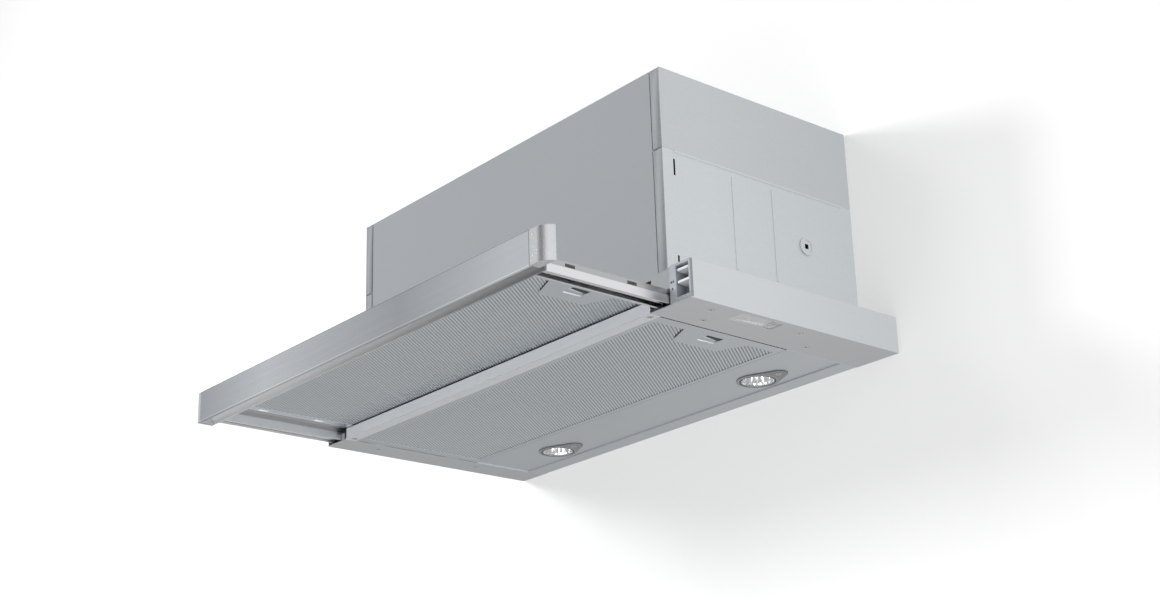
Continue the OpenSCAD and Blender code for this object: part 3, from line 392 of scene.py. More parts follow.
grey_plastic = plastic("grey moulding", (0.26, 0.28, 0.30), 0.42)
knob_plastic = plastic("knob moulding", (0.46, 0.48, 0.50), 0.38)
cap_plastic = plastic("silver cap", (0.62, 0.63, 0.65), 0.26, metallic=0.85)
bezel_plastic = plastic("bezel moulding", (0.30, 0.31, 0.33), 0.32, metallic=0.5)
dark_plastic = plastic("dark moulding", (0.03, 0.03, 0.033), 0.45)
white_plastic = plastic("white moulding", (0.78, 0.78, 0.76), 0.40)
black_rubber = plastic("black rubber", (0.02, 0.02, 0.02), 0.75)
# Black for the printed marks, and for the pull cups' painted shade and slits.
print_and_shade_black = plastic("print and painted shade black", (0.015, 0.015, 0.018), 0.5)
print("metals and plastics", len(bpy.data.materials))

# %% [markdown]
# The reflectors are vacuum-coated glass or plastic, close to a mirror. The lamp's cover is clear
# glass, which in a bright room mostly shows its own rim.

# %% Mirror and glass
mirror_coat = metal("mirror coat", (0.92, 0.92, 0.93), 0.06, tone=0.01, bump=0.000002, speck=0.0)
glass, glass_tree, glass_shader = new_material("clear glass", (0.96, 0.98, 0.98), 0.0, 0.03)
glass_shader.inputs["Transmission Weight"].default_value = 1.0
glass_shader.inputs["IOR"].default_value = 1.15


def faint_smears(tree, shader):
    place = add_node(tree, "ShaderNodeTexCoord")
    smear = add_node(tree, "ShaderNodeTexNoise")
    smear.inputs["Scale"].default_value = 60
    wire(tree, place.outputs["Object"], smear.inputs["Vector"])
    wire(tree, map_range(tree, smear.outputs["Fac"], 0.01, 0.07), shader.inputs["Roughness"])


faint_smears(glass_tree, glass_shader)
print("materials", len(bpy.data.materials))

# %% [markdown]
# Every node of the solids is given its finish by name. The same table is used later for the
# pieces that take a node's place, so that no surface is left with a flat default colour.

# %% Which finish goes where
finish_of = {
    casing_steel: ["casing_front", "casing_back", "casing_top_plate"],
    side_steel: ["side_right_lower", "side_left_lower"],
    upper_steel: ["side_right_upper", "side_left_upper"],
    arm_steel: ["arm_right", "arm_left", "fascia"],
    front_steel: ["drawer_front"],
    bar_steel: ["crossbar", "drawer_rear_bar"],
    panel_steel: ["lamp_panel", "rear_strip"],
    zinc: ["slide_outer_right", "slide_outer_left", "slide_inner_right", "slide_inner_left",
           "ball_cage_right", "ball_cage_left", "cabinet_clamp", "screws", "motor_shaft",
           "motor_bracket"],
    channel_steel: ["channel_right", "channel_left"],
    grip_metal: ["grip_profile"],
    filter_metal: ["drawer_filter_frame", "drawer_filter_mesh", "fixed_filter_frame",
                   "fixed_filter_mesh"],
    grey_plastic: ["switch_panel"],
    knob_plastic: ["light_knob", "speed_knob"],
    cap_plastic: ["end_cap_right", "end_cap_left"],
    bezel_plastic: ["lamp_bezel_right", "lamp_bezel_left"],
    glass: ["lamp_glass_right", "lamp_glass_left", "bulbs"],
    mirror_coat: ["reflector_right", "reflector_left"],
    dark_plastic: ["drawer_latch", "fixed_latch", "switch_block", "flap_front", "flap_rear",
                   "outlet_collar", "control_box", "fan_wheel", "capacitor", "volute_right",
                   "volute_left"],
    white_plastic: ["lampholders", "transformer"],
    dark_paint: ["motor"],
    black_rubber: ["motor_bushes", "cable_gland"],
}
finish_by_node = {name: finish for finish, names in finish_of.items() for name in names}
assert set(finish_by_node) == set(nodes), set(nodes) ^ set(finish_by_node)


def dress(thing, finish):
    thing.data.materials.clear()
    thing.data.materials.append(finish)


for node_name, thing in nodes.items():
    dress(thing, finish_by_node[node_name])
print("dressed", len(nodes), "nodes")

# %% [markdown]
# A bend in sheet steel has a radius, and it is this radius that catches the light and draws a
# bright or dark line along each fold. The solids end in plain corners, so new pieces take their
# place. Every new piece is finished in the same way: it is smoothed up to an angle, given its
# material, and tied to the moving body of the node that it belongs to.

# %% Finishing a piece
body_by_node = {node: body for body, group in
                frame["record"]["behaviour"]["bodies"].items() for node in group}


def finish_piece(thing, node, smooth_angle=50, finish=None):
    mesh = thing.data
    mesh.polygons.foreach_set("use_smooth", [True] * len(mesh.polygons))
    mesh.set_sharp_from_angle(angle=math.radians(smooth_angle))
    dress(thing, finish or finish_by_node[node])
    bpy.context.scene.collection.objects.link(thing)
    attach(thing, body_by_node[node])
    return thing


def piece_from(maker, name, node, smooth_angle=50, finish=None):
    mesh = bpy.data.meshes.new(name)
    maker.to_mesh(mesh)
    maker.free()
    return finish_piece(bpy.data.objects.new(name, mesh), node, smooth_angle, finish)


# %% [markdown]
# A solid arrives as loose triangles. They are merged into flat faces, and the edges between two
# faces that meet at a clear angle are rounded: by a quarter of a millimetre on folded sheet, and
# by 0.4 mm on mouldings. Weighted normals then keep the large faces flat.

# %% Rounded copies of the solids
same_point = 0.000002
flat_angle = math.radians(0.4)
sharpest, bluntest = 152, 28
bend_steps = 2


def merged(node):
    maker = bmesh.new()
    maker.from_mesh(nodes[node].data)
    bmesh.ops.remove_doubles(maker, verts=maker.verts, dist=same_point)
    bmesh.ops.dissolve_limit(maker, angle_limit=flat_angle, verts=maker.verts,
                             edges=maker.edges)
    return maker


def corner_edges(maker):
    found = []
    for edge in maker.edges:
        if len(edge.link_faces) == 2:
            angle = math.degrees(edge.calc_face_angle(0))
            if bluntest < angle < sharpest:
                found.append(edge)
    return found


def rounded(node, radius):
    maker = merged(node)
    bmesh.ops.bevel(maker, geom=corner_edges(maker), offset=radius, affect="EDGES",
                    segments=bend_steps, profile=0.5, material=-1, clamp_overlap=False)
    piece = piece_from(maker, node + "_rounded", node)
    keep_flat = piece.modifiers.new("flat faces", "WEIGHTED_NORMAL")
    keep_flat.keep_sharp = True
    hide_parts(node)
    return piece


rounding = {
    0.00025: ["casing_front", "side_right_lower", "side_right_upper", "side_left_lower",
              "side_left_upper", "arm_right", "arm_left", "fascia", "lamp_panel", "rear_strip",
              "drawer_front", "channel_right", "channel_left", "casing_back",
              "casing_top_plate", "drawer_filter_frame", "fixed_filter_frame"],
    0.0004: ["crossbar", "switch_panel", "light_knob", "speed_knob", "drawer_latch",
             "fixed_latch", "end_cap_right", "end_cap_left", "grip_profile",
             "lamp_bezel_right", "lamp_bezel_left", "outlet_collar"],
}
for radius, names in rounding.items():
    for node_name in names:
        piece = rounded(node_name, radius)
        print(piece.name, len(piece.data.polygons), "faces")

# %% [markdown]
# The grease filters are a pad of fine expanded mesh. At this distance it reads as close diagonal
# stripes. Thousands of small holes would cost far more faces and still blur at this size. So each
# pad is one pleated sheet: a grid whose every second line is lifted, and which is then turned by
# 36 degrees. A plane can then split it or cut it away, which fits it to the frame's opening.

# %% Pleated sheet
pleat_pitch = 0.0033
pleat_rise = 0.0008
pleat_turn = math.radians(36)
sheet_overhang = 1.4
cut_tolerance = 0.0000001


def pleated_sheet(span):
    pleats = math.ceil(span / pleat_pitch)
    width = pleats * pleat_pitch
    maker = bmesh.new()
    bmesh.ops.create_grid(maker, x_segments=2 * pleats, y_segments=1, size=0.5)
    bmesh.ops.scale(maker, verts=maker.verts, vec=(width, sheet_overhang * span, 1))
    raised = [v for v in maker.verts if round((v.co.x / width + 0.5) * 2 * pleats) % 2]
    bmesh.ops.translate(maker, verts=raised, vec=(0, 0, pleat_rise))
    bmesh.ops.rotate(maker, verts=maker.verts, matrix=Matrix.Rotation(pleat_turn, 3, "Z"))
    print("pleats", pleats)
    return maker


def cut_at(maker, place, outward, clear=False):
    everything = maker.verts[:] + maker.edges[:] + maker.faces[:]
    bmesh.ops.bisect_plane(maker, geom=everything, dist=cut_tolerance, plane_co=place,
                           plane_no=outward, clear_outer=clear)


# %% [markdown]
# The frame holds the sheet on four sides, and a pull plate with slanting sides covers a part of
# the right side. The sheet is cut away there, because a sheet behind the plate would poke through
# it. The folds are painted lighter at the bottom and darker with their height, a painted shade
# that stands for the shaded layers of the real mesh behind them.

# %% Grease mesh
sheet_thickness = 0.0002
sheet_recess = 0.00015
frame_rim = 0.012
frame_edge = 0.005
plate_width = 0.031
plate_half_shares = (0.25, 0.17)


def pleated_finish(node, base):
    # Painted shade: the folds darker with their height.
    painted_fold_shade = (along_z, base, base + pleat_rise, 1.10, 0.58)
    return metal("mesh of " + node, (0.62, 0.655, 0.68), 0.42, tone=0.02, fades=[painted_fold_shade])


def clear_plate(maker, plate_end, middle_y, depth):
    wide, narrow = (share * depth for share in plate_half_shares)
    slope = (wide - narrow) / plate_width
    cut_at(maker, (plate_end, 0, 0), (1, 0, 0))
    cut_at(maker, (plate_end, middle_y + narrow, 0), (-slope, 1, 0))
    cut_at(maker, (plate_end, middle_y - narrow, 0), (-slope, -1, 0))
    taken = []
    for face in maker.faces:
        middle = face.calc_center_median()
        half = narrow + slope * (middle.x - plate_end)
        if middle.x > plate_end and abs(middle.y - middle_y) < half:
            taken.append(face)
    bmesh.ops.delete(maker, geom=taken, context="FACES")


def grease_mesh(node, frame_node):
    frame_low, frame_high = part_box(frame_node)
    border = Vector((frame_rim, frame_edge, 0))
    low, high = frame_low + border, frame_high - border
    base = frame_low.z + sheet_recess
    centre = (low + high) / 2
    maker = pleated_sheet((high.x - low.x) + (high.y - low.y))
    bmesh.ops.translate(maker, verts=maker.verts, vec=(centre.x, centre.y, base))
    for place, outward in ((low, (-1, 0, 0)), (low, (0, -1, 0)), (high, (1, 0, 0)),
                           (high, (0, 1, 0))):
        cut_at(maker, place, outward, clear=True)
    clear_plate(maker, high.x - plate_width, centre.y, frame_high.y - frame_low.y)
    bmesh.ops.recalc_face_normals(maker, faces=maker.faces)
    if maker.faces[0].normal.z > 0:
        bmesh.ops.reverse_faces(maker, faces=maker.faces)
    bmesh.ops.solidify(maker, geom=maker.faces[:], thickness=sheet_thickness)
    bmesh.ops.recalc_face_normals(maker, faces=maker.faces)
    piece = piece_from(maker, node + "_pleated", node, smooth_angle=5,
                       finish=pleated_finish(node, base))
    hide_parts(node)
    print(piece.name, len(piece.data.polygons), "faces")


grease_mesh("drawer_filter_mesh", "drawer_filter_frame")
grease_mesh("fixed_filter_mesh", "fixed_filter_frame")

# %% [markdown]
# Each filter has a pressed pull plate. A tongue of sheet bends up into its cup, and leaves a
# shaded wedge beside it, which is a black plate, a painted shade. The tongue's near edge is
# rolled, and its highlight is a near-white strip, a painted highlight. A slit is cut along one
# slanting side of the plate. They are sheared boxes with broken edges, set out from the cup of the
# solid.

# %% Slanted box
edge_break_share = 0.2


def slanted_box(name, node, centre, size, turn=0.0, taper=0.0, lift=0.0, finish=None):
    maker = bmesh.new()
    verts = bmesh.ops.create_cube(maker, size=1)["verts"]
    bmesh.ops.scale(maker, verts=verts, vec=size)
    for vert in verts:
        if vert.co.x > 0:
            vert.co.z += lift
            if vert.co.y > 0:
                vert.co.x -= taper
    bmesh.ops.bevel(maker, geom=maker.edges[:], offset=min(size) * edge_break_share,
                    affect="EDGES", segments=1, profile=0.5, material=-1)
    bmesh.ops.rotate(maker, verts=maker.verts, matrix=Matrix.Rotation(turn, 3, "Z"))
    bmesh.ops.translate(maker, verts=maker.verts, vec=centre)
    return piece_from(maker, name, node, finish=finish)


print("slanted boxes have edges broken by", edge_break_share, "of their thinnest side")

# %% [markdown]
# Each part of a cup has a place and a size. A place is how far its middle lies from the cup's
# edge along the hood's width, and how high it lies over the frame's underside. The slit is set out
# from the frame's right rim instead. The painted shade is tied to the latch and moves with it,
# while the other parts stay on the frame.

# %% Pull cups
cup_gap = 0.0004
cup_width = 0.0208
tongue_at, tongue_size = (0.0037, 0.0006), (0.0074, cup_width, 0.0005)
tongue_taper, tongue_lift = 0.0040, 0.0006
# The shade plate is a painted shade, the rolled strip a painted highlight.
shade_at, shade_size = (0.0060, 0.00096), (0.0112, cup_width - 0.0012, 0.00008)
rolled_at, rolled_size = (-0.0022, 0.0001), (0.0020, cup_width, 0.00030)
slit_at, slit_size = (-0.011, 0.0004), (0.026, 0.0012, 0.0008)
slit_inset = 0.0040


def pull_cup(name, frame_node, latch_node):
    low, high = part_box(frame_node)
    latch_low, latch_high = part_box(latch_node)
    cup_x = latch_low.x - cup_gap
    middle_y = (latch_low.y + latch_high.y) / 2
    tongue, shade, rolled = ((cup_x + along, middle_y, low.z + height)
                             for along, height in (tongue_at, shade_at, rolled_at))
    slanted_box(name + "_tongue", frame_node, tongue, tongue_size, taper=tongue_taper,
                lift=tongue_lift)
    # A black plate as painted shade, and a near-white strip as painted highlight on the rolled
    # edge.
    slanted_box(name + "_shade", latch_node, shade, shade_size, finish=print_and_shade_black)
    slanted_box(name + "_rolled_edge", frame_node, rolled, rolled_size, finish=painted_highlight)
    depth = high.y - low.y
    near, far = (middle_y - share * depth for share in plate_half_shares)
    slope = math.atan2(far - near, -plate_width)
    slit = (high.x - frame_rim + slit_at[0], near + slit_inset, low.z + slit_at[1])
    slanted_box(name + "_slit", frame_node, slit, slit_size, turn=slope, finish=print_and_shade_black)


pull_cup("drawer_filter", "drawer_filter_frame", "drawer_latch")
pull_cup("fixed_filter", "fixed_filter_frame", "fixed_latch")
print("pull cups of both filters")

# %% [markdown]
# The side sheets fold over the casing's front in a narrow strip on each side, with a dark joint
# where the strip ends. The solids show one flat face there. Cutting it would leave thin slivers,
# so a plate of a fifth of a millimetre lies over it, with its own dark line beside it.

# %% Strips over the folds
strip_width = 0.0122
strip_proud = 0.0002
strip_overlap = 0.0006
strip_margin = 0.001
joint_offset, joint_width = 0.0006, 0.0007
casing_low, casing_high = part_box("casing_front")


def front_strip(side):
    outer = casing_high.x + strip_overlap if side > 0 else casing_low.x - strip_overlap
    face_y = casing_low.y - strip_proud / 2
    for part, node in (("lower", "side_right_lower"), ("upper", "side_right_upper")):
        low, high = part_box(node)
        low_z = max(low.z, casing_low.z) + strip_margin
        high_z = min(high.z, casing_high.z) - strip_margin
        middle_z, height = (low_z + high_z) / 2, high_z - low_z
        name = "fold_" + part + ("_right" if side > 0 else "_left")
        own = node if side > 0 else node.replace("right", "left")
        slanted_box(name, own, (outer - side * strip_width / 2, face_y, middle_z),
                    (strip_width, strip_proud, height), finish=casing_steel)
        slanted_box(name + "_joint", own,
                    (outer - side * (strip_width + joint_offset), face_y, middle_z),
                    (joint_width, strip_proud, height), finish=dark_paint)


front_strip(1)
front_strip(-1)
print("strips from", round(casing_low.x, 4), "to", round(casing_high.x, 4))

# %% [markdown]
# The drawer's left edge shows the two bright hooks of its filter. On the right a bright bar runs
# under the channel's ledge, and the filter's own rim catches the light beside it. All four are
# thin boxes in the near-white strip finish, a painted highlight, and the two bars end just before
# the base, where the drawer goes in.

# %% Hooks and bars
tab_inset, trim_drop = 0.0088, 0.0001
tab_size = (0.0050, 0.011, 0.0003)
bar_back_y, bar_gap = -0.058, 0.002
filter_low, filter_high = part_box("drawer_filter_frame")
for step in (0.0362, 0.1062):
    tab_place = (filter_low.x + tab_inset, filter_low.y + step, filter_low.z - trim_drop)
    slanted_box("hook_tab_" + str(round(step * 1000)), "drawer_filter_frame", tab_place, tab_size,
                finish=painted_highlight)
bar_middle_y = (filter_low.y + bar_back_y) / 2
bar_length = bar_back_y - filter_low.y - bar_gap
for name, node, along, drop, width, height in (
        ("ledge_bar", "channel_right", 0.0070, 0.0010, 0.0026, 0.0012),
        ("filter_rim_edge", "drawer_filter_frame", -0.0008, trim_drop, 0.0016, 0.0003)):
    slanted_box(name, node, (filter_high.x + along, bar_middle_y, filter_low.z - drop),
                (width, bar_length, height), finish=painted_highlight)
print("bars", round(bar_length, 4), "long")

# %% [markdown]
# Each lamp has a small bowl pressed into flutes, which break the bulb's light into bright and
# dark bars. The bowl is spun from a profile, then every third line of it is pulled inwards, so
# that flat flutes remain between the ribs.

# %% Reflectors
flute_count = 20
lines_per_flute = 3
flute_pull = 0.955
bowl_thickness = 0.0004


def fluted_bowl(node, glass_node):
    low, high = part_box(node)
    glass_low, glass_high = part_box(glass_node)
    centre = (glass_low + glass_high) / 2
    centre.z = 0
    rim_z, top_z = low.z + 0.0001, high.z
    steps = flute_count * lines_per_flute
    profile = [(0.0196, rim_z), (0.0172, rim_z), (0.0164, rim_z + 0.002), (0.0150, rim_z + 0.006),
               (0.0128, rim_z + 0.011), (0.0102, rim_z + 0.016), (0.0074, top_z)]
    maker = bmesh.new()
    points = [maker.verts.new(centre + Vector((radius, 0, z))) for radius, z in profile]
    for first, second in zip(points, points[1:]):
        maker.edges.new((first, second))
    bmesh.ops.spin(maker, geom=maker.verts[:] + maker.edges[:], cent=centre, axis=(0, 0, 1),
                   angle=math.tau, steps=steps, use_merge=True)
    bmesh.ops.remove_doubles(maker, verts=maker.verts, dist=0.000001)
    for vert in maker.verts:
        flat = vert.co - centre
        turn = round(math.atan2(flat.y, flat.x) / math.tau * steps) % lines_per_flute
        if turn == 0 and vert.co.z > rim_z + 0.001:
            vert.co.x = centre.x + flat.x * flute_pull
            vert.co.y = centre.y + flat.y * flute_pull
    bmesh.ops.recalc_face_normals(maker, faces=maker.faces)
    bmesh.ops.solidify(maker, geom=maker.faces[:], thickness=bowl_thickness)
    bmesh.ops.recalc_face_normals(maker, faces=maker.faces)
    piece = piece_from(maker, node + "_fluted", node, smooth_angle=12)
    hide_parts(node)
    print(piece.name, len(piece.data.polygons), "faces")
    return centre


lamp_centres = {side: fluted_bowl("reflector_" + side, "lamp_glass_" + side)
                for side in ("right", "left")}

# %% [markdown]
# The bezel is one teardrop moulding around the glass. A groove runs round the glass and a thin lip
# lies inside it. The groove is painted near-black, a painted shade, and the lip light grey, a
# painted highlight. Both follow from the distance to the lamp's middle, so they are made in the
# material, with a bump that sinks the groove.

# %% Bezel finish
bezel_reach = (0.0165, 0.0225)
groove_depth = 0.0006


def lamp_bezel_finish(side):
    centre = lamp_centres[side]
    material, tree, shader = new_material("bezel " + side, (0.30, 0.31, 0.33), 0.35, 0.33)
    place = add_node(tree, "ShaderNodeTexCoord")
    moved = add_node(tree, "ShaderNodeMapping")
    moved.inputs["Location"].default_value = (-centre.x, -centre.y, 0)
    wire(tree, place.outputs["Object"], moved.inputs["Vector"])
    flat = add_node(tree, "ShaderNodeVectorMath", operation="MULTIPLY")
    flat.inputs[1].default_value = (1, 1, 0)
    wire(tree, moved.outputs[0], flat.inputs[0])
    reach = add_node(tree, "ShaderNodeVectorMath", operation="LENGTH")
    wire(tree, flat.outputs[0], reach.inputs[0])
    bands = add_node(tree, "ShaderNodeMapRange")
    for label, value in zip(("From Min", "From Max"), bezel_reach):
        bands.inputs[label].default_value = value
    wire(tree, reach.outputs["Value"], bands.inputs["Value"])
    tone = add_node(tree, "ShaderNodeValToRGB")
    # Painted highlight on the lip, painted shade in the groove, then the moulding's grey, darker
    # outwards.
    stops = ((0.0, 0.55), (0.13, 0.50), (0.17, 0.012), (0.42, 0.012), (0.47, 0.30), (1.0, 0.21))
    for stop in stops[1:-1]:
        tone.color_ramp.elements.new(stop[0])
    for element, (position, grey) in zip(tone.color_ramp.elements, stops):
        element.position = position
        element.color = (grey, grey, grey * 1.03, 1)
    wire(tree, bands.outputs["Result"], tone.inputs["Fac"])
    wire(tree, tone.outputs["Color"], shader.inputs["Base Color"])
    fine = add_node(tree, "ShaderNodeTexNoise")
    fine.inputs["Scale"].default_value = 1500
    wire(tree, place.outputs["Object"], fine.inputs["Vector"])
    wire(tree, map_range(tree, fine.outputs["Fac"], 0.26, 0.40), shader.inputs["Roughness"])
    relief = add_node(tree, "ShaderNodeBump")
    relief.inputs["Distance"].default_value = groove_depth
    wire(tree, tone.outputs["Color"], relief.inputs["Height"])
    wire(tree, relief.outputs[0], shader.inputs["Normal"])
    return material


for side in lamp_centres:
    bezel = bpy.data.objects["lamp_bezel_" + side + "_rounded"]
    dress(bezel, lamp_bezel_finish(side))
    print(bezel.name, "dressed")

# %% [markdown]
# The screws of the underside are small domed heads with a cross. A bright head and a dark cross
# are all that shows of a screw at this size. Each dome is a spun arc in a near-white matt finish,
# a painted glint, and the cross is two thin bars in dark moulding sunk into it, a painted shade of
# the recess.

# %% Screw heads
dome_radius, dome_rise, dome_lift = 0.0031, 0.0015, 0.00005
dome_rings, dome_sides = 4, 20
lowest_heads = 0.0005
cross_bar, cross_level = (0.0038, 0.0009, 0.0006), 0.0003
cross_break = 0.0001
first_turn, turn_step = 20, 37


def head_places():
    maker = merged("screws")
    found = set()
    for face in maker.faces:
        middle = face.calc_center_bounds()
        if abs(face.normal.z + 1) < 0.01 and middle.z < lowest_heads:
            found.add((round(middle.x, 4), round(middle.y, 4)))
    maker.free()
    return sorted(found)


def domed_heads(name, places):
    maker = bmesh.new()
    for x, y in places:
        arc = []
        for step in range(dome_rings + 1):
            lean = math.radians(90) * step / dome_rings
            arc.append(maker.verts.new((x + dome_radius * math.sin(lean), y,
                                        dome_lift + dome_rise * (1 - math.cos(lean)))))
        edges = [maker.edges.new(pair) for pair in zip(arc, arc[1:])]
        bmesh.ops.spin(maker, geom=arc + edges, cent=(x, y, 0), axis=(0, 0, 1),
                       angle=math.tau, steps=dome_sides, use_merge=True)
    bmesh.ops.remove_doubles(maker, verts=maker.verts, dist=0.000001)
    open_edges = [edge for edge in maker.edges if edge.is_boundary]
    bmesh.ops.holes_fill(maker, edges=open_edges, sides=0)
    bmesh.ops.recalc_face_normals(maker, faces=maker.faces)
    # Near-white heads: a painted glint.
    return piece_from(maker, name, "screws", smooth_angle=40, finish=zinc_screw_glint)


def cross_marks(name, places):
    maker = bmesh.new()
    for index, (x, y) in enumerate(places):
        for quarter in (0, 90):
            turn = math.radians(first_turn + quarter + index * turn_step)
            bar = bmesh.ops.create_cube(maker, size=1)["verts"]
            bmesh.ops.scale(maker, verts=bar, vec=cross_bar)
            bmesh.ops.rotate(maker, verts=bar, matrix=Matrix.Rotation(turn, 3, "Z"))
            bmesh.ops.translate(maker, verts=bar, vec=(x, y, cross_level))
    bmesh.ops.bevel(maker, geom=maker.edges[:], offset=cross_break, affect="EDGES", segments=1,
                    profile=0.5, material=-1)
    # Dark bars: a painted shade of the cross recess.
    return piece_from(maker, name, "screws", finish=dark_plastic)


places = head_places()
domed_heads("screw_heads", places)
cross_marks("screw_crosses", places)
print("screw heads", len(places))

# %% [markdown]
# Beside the two sliders the panel carries small printed marks: a ring at each end, and two dots
# and one dot between them for the fan's speeds. They are thin discs that lie on the panel's face.
# Where a mark is a ring, its disc is inset and the middle is taken out.

# %% Marks beside the sliders
column_inset = 0.0040
mark_proud, mark_depth = 0.00002, 0.0004
ring_from, ring_share = 0.0012, 0.35
marks = ((0, 0.0310, 0.0020), (-0.0014, 0.0212, 0.0011), (0.0014, 0.0212, 0.0011),
         (0, 0.0145, 0.0011), (0, 0.0088, 0.0014))


def printed_marks():
    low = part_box("switch_panel")[0]
    maker = bmesh.new()
    for x, z, radius in marks:
        disc = bmesh.ops.create_circle(maker, cap_ends=True, segments=20, radius=radius)["verts"]
        bmesh.ops.rotate(maker, verts=disc, matrix=Matrix.Rotation(math.radians(90), 3, "X"))
        bmesh.ops.translate(maker, verts=disc,
                            vec=(low.x + column_inset + x, low.y - mark_proud, z))
        if radius > ring_from:
            faces = [face for face in maker.faces if face.verts[0] in disc]
            bmesh.ops.inset_region(maker, faces=faces, thickness=radius * ring_share)
            bmesh.ops.delete(maker, geom=faces, context="FACES_ONLY")
    extruded = bmesh.ops.extrude_face_region(maker, geom=maker.faces[:])["geom"]
    bmesh.ops.translate(maker, verts=[v for v in extruded if isinstance(v, bmesh.types.BMVert)],
                        vec=(0, mark_depth, 0))
    bmesh.ops.recalc_face_normals(maker, faces=maker.faces)
    return piece_from(maker, "slider_marks", "switch_panel", finish=print_and_shade_black)


print("marks", len(printed_marks().data.polygons), "faces")

# %% [markdown]
# The photographed hood hangs in front of a bright wall and throws a soft grey shadow on it to the
# right and below. The wall is a plane that only camera rays from its front see, so the back view
# stays open and it adds no light. About half of its tone is a glow, and the rest is paint that
# takes the shadow.

# %% Seen by the camera alone
def camera_only(tree, seen):
    output = tree.nodes["Material Output"]
    clear = add_node(tree, "ShaderNodeBsdfTransparent")
    path = add_node(tree, "ShaderNodeLightPath")
    side = add_node(tree, "ShaderNodeNewGeometry")
    front = add_node(tree, "ShaderNodeMath", operation="SUBTRACT")
    wire(tree, path.outputs["Is Camera Ray"], front.inputs[0])
    wire(tree, side.outputs["Backfacing"], front.inputs[1])
    front.use_clamp = True
    pick = add_node(tree, "ShaderNodeMixShader")
    wire(tree, front.outputs[0], pick.inputs["Fac"])
    wire(tree, clear.outputs[0], pick.inputs[1])
    wire(tree, seen, pick.inputs[2])
    wire(tree, pick.outputs[0], output.inputs["Surface"])


print("camera sees the wall, lamps and metal do not")

# %% [markdown]
# The wall stands just behind the hood. The floor lies far below it, so that it adds a soft light
# from beneath and stays out of the photograph's view. Both are plain planes on the stage.

# %% Wall and floor
def flat_plane(name, width, depth, place, turn):
    maker = bmesh.new()
    bmesh.ops.create_grid(maker, x_segments=1, y_segments=1, size=0.5)
    bmesh.ops.scale(maker, verts=maker.verts, vec=(width, depth, 1))
    bmesh.ops.rotate(maker, verts=maker.verts, matrix=Matrix.Rotation(turn, 3, "X"))
    bmesh.ops.translate(maker, verts=maker.verts, vec=place)
    mesh = bpy.data.meshes.new(name)
    maker.to_mesh(mesh)
    maker.free()
    plane = bpy.data.objects.new(name, mesh)
    bpy.context.scene.collection.objects.link(plane)
    return plane


def wall_material():
    material, tree, shader = new_material("wall paint", (0.34, 0.34, 0.34), 0, 0.9)
    glow = add_node(tree, "ShaderNodeEmission")
    glow.inputs["Color"].default_value = (1, 1, 1, 1)
    glow.inputs["Strength"].default_value = 0.48
    both = add_node(tree, "ShaderNodeAddShader")
    wire(tree, shader.outputs[0], both.inputs[0])
    wire(tree, glow.outputs[0], both.inputs[1])
    camera_only(tree, both.outputs[0])
    return material


def floor_material():
    material, tree, shader = new_material("floor paint", (0.80, 0.80, 0.80), 0, 0.8)
    glow = add_node(tree, "ShaderNodeEmission")
    path = add_node(tree, "ShaderNodeLightPath")
    share = add_node(tree, "ShaderNodeMixShader")
    wire(tree, scale_value(tree, path.outputs["Is Camera Ray"], 0.5), share.inputs["Fac"])
    wire(tree, shader.outputs[0], share.inputs[1])
    wire(tree, glow.outputs[0], share.inputs[2])
    wire(tree, share.outputs[0], tree.nodes["Material Output"].inputs["Surface"])
    return material


floor_level = -1.2
wall_gap = 0.002
wall_place = cad_high.y + wall_gap
wall = flat_plane("wall", 12, 8, (0, wall_place, 0), math.radians(90))
dress(wall, wall_material())
floor = flat_plane("floor", 14, 14, (0, 0, floor_level), 0)
dress(floor, floor_material())
floor.visible_glossy = False
print("wall at", round(wall_place, 3), "floor at", floor_level)

# %% [markdown]
# Polished and brushed steel shows what stands around it, so the room matters more than the lamps.
# The world is white to the camera. To reflections it is bright on the right, where the side
# faces look, darker on the left, and darker still below, where the underside looks. Ahead of the
# hood stands a dark upright band, as a black screen does in a studio. It draws the dark stripe in
# the rounded cap.

# %% World
def between(tree, source, low, high, low_value, high_value):
    node = add_node(tree, "ShaderNodeMapRange")
    for label, value in (("From Min", low), ("From Max", high), ("To Min", low_value),
                         ("To Max", high_value)):
        node.inputs[label].default_value = value
    wire(tree, source, node.inputs["Value"])
    return node.outputs["Result"]


def upright_bands(tree, split):
    turned = add_node(tree, "ShaderNodeMath", operation="ARCTAN2")
    wire(tree, scale_value(tree, split.outputs["X"], -1.0), turned.inputs[0])
    wire(tree, scale_value(tree, split.outputs["Y"], -1.0), turned.inputs[1])
    bands = add_node(tree, "ShaderNodeValToRGB")
    stops = ((-75, 1.0), (-45, 1.10), (-33, 1.05), (-19, 0.64), (-5, 0.26), (5, 0.11), (12, 0.14),
             (25, 0.50), (33, 0.76), (41, 1.15), (47, 1.25), (51, 1.22), (56, 1.0), (65, 1.08),
             (90, 1.0))
    first, last = stops[0][0], stops[-1][0]
    for step in stops[1:-1]:
        bands.color_ramp.elements.new((step[0] - first) / (last - first))
    for element, (degrees, grey) in zip(bands.color_ramp.elements, stops):
        element.position = (degrees - first) / (last - first)
        element.color = (grey, grey, grey, 1)
    wire(tree, between(tree, turned.outputs[0], math.radians(first), math.radians(last), 0, 1),
         bands.inputs["Fac"])
    return bands.outputs["Color"]


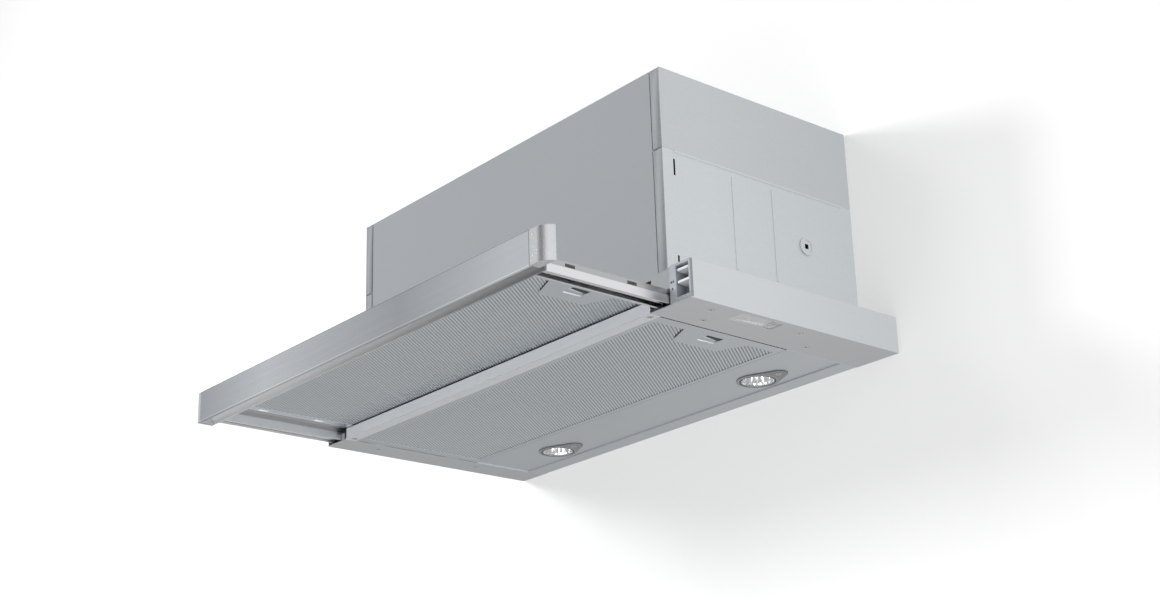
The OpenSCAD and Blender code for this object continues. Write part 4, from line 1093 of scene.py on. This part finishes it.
def make_world():
    world = bpy.data.worlds.new("studio")
    world.use_nodes = True
    bpy.context.scene.world = world
    tree = world.node_tree
    backdrop = tree.nodes["Background"]
    path = add_node(tree, "ShaderNodeLightPath")
    look = add_node(tree, "ShaderNodeTexCoord")
    split = add_node(tree, "ShaderNodeSeparateXYZ")
    wire(tree, look.outputs["Generated"], split.inputs[0])
    across = between(tree, split.outputs["X"], -0.8, 0.8, 0.62, 1.0)
    under = between(tree, split.outputs["X"], -0.85, -0.50, 0.56, 1.0)
    is_under = between(tree, split.outputs["Z"], -0.08, -0.24, 0.0, 1.0)
    depth = add_node(tree, "ShaderNodeMix", data_type="FLOAT")
    depth.inputs["A"].default_value = 1.0
    wire(tree, is_under, depth.inputs["Factor"])
    wire(tree, under, depth.inputs["B"])
    shown = scale_value(tree, scale_value(tree, across, depth.outputs["Result"]),
                        upright_bands(tree, split))
    shiny = add_values(tree, path.outputs["Is Glossy Ray"], path.outputs["Is Transmission Ray"])
    lit = add_node(tree, "ShaderNodeMix", data_type="FLOAT")
    lit.inputs["A"].default_value = 0.45
    wire(tree, shiny, lit.inputs["Factor"])
    wire(tree, shown, lit.inputs["B"])
    seen = add_node(tree, "ShaderNodeMix", data_type="FLOAT")
    seen.inputs["B"].default_value = 1.0
    wire(tree, path.outputs["Is Camera Ray"], seen.inputs["Factor"])
    wire(tree, lit.outputs["Result"], seen.inputs["A"])
    backdrop.inputs["Color"].default_value = (1, 1, 1, 1)
    wire(tree, seen.outputs["Result"], backdrop.inputs["Strength"])


make_world()
print("world", bpy.context.scene.world.name)

# %% [markdown]
# Two lamps close together at the upper left throw the soft double edge of the shadow on the wall.
# A large weak one fills the right side, and one from below lifts the underside. None of them
# shows in the metal, which mirrors the world alone, so no lamp leaves a square of light on it.

# %% Lamps
def soft_lamp(name, place, target, width, depth, watts):
    data = bpy.data.lights.new(name, "AREA")
    data.shape = "RECTANGLE"
    data.size, data.size_y, data.energy = width, depth, watts
    lamp = bpy.data.objects.new(name, data)
    aim = (Vector(target) - Vector(place)).to_track_quat("-Z", "Y")
    lamp.matrix_world = Matrix.Translation(place) @ aim.to_matrix().to_4x4()
    bpy.context.scene.collection.objects.link(lamp)
    lamp.visible_glossy = False
    return lamp


middle = (0, 0, 0.1)
soft_lamp("key", (-1.75, -2.25, 0.75), middle, 0.5, 0.5, 85)
soft_lamp("upper", (-0.85, -2.25, 1.05), middle, 0.7, 0.7, 22)
soft_lamp("fill", (2.4, -0.6, 0.6), middle, 1.6, 1.6, 20)
soft_lamp("below", (0.4, -0.9, -1.1), middle, 1.6, 1.2, 14)
print("lamps", len(bpy.data.lights))

# %% [markdown]
# The view stays plain Standard, in which a colour shows about as written.

# %% View
bpy.context.scene.view_settings.view_transform = "Standard"
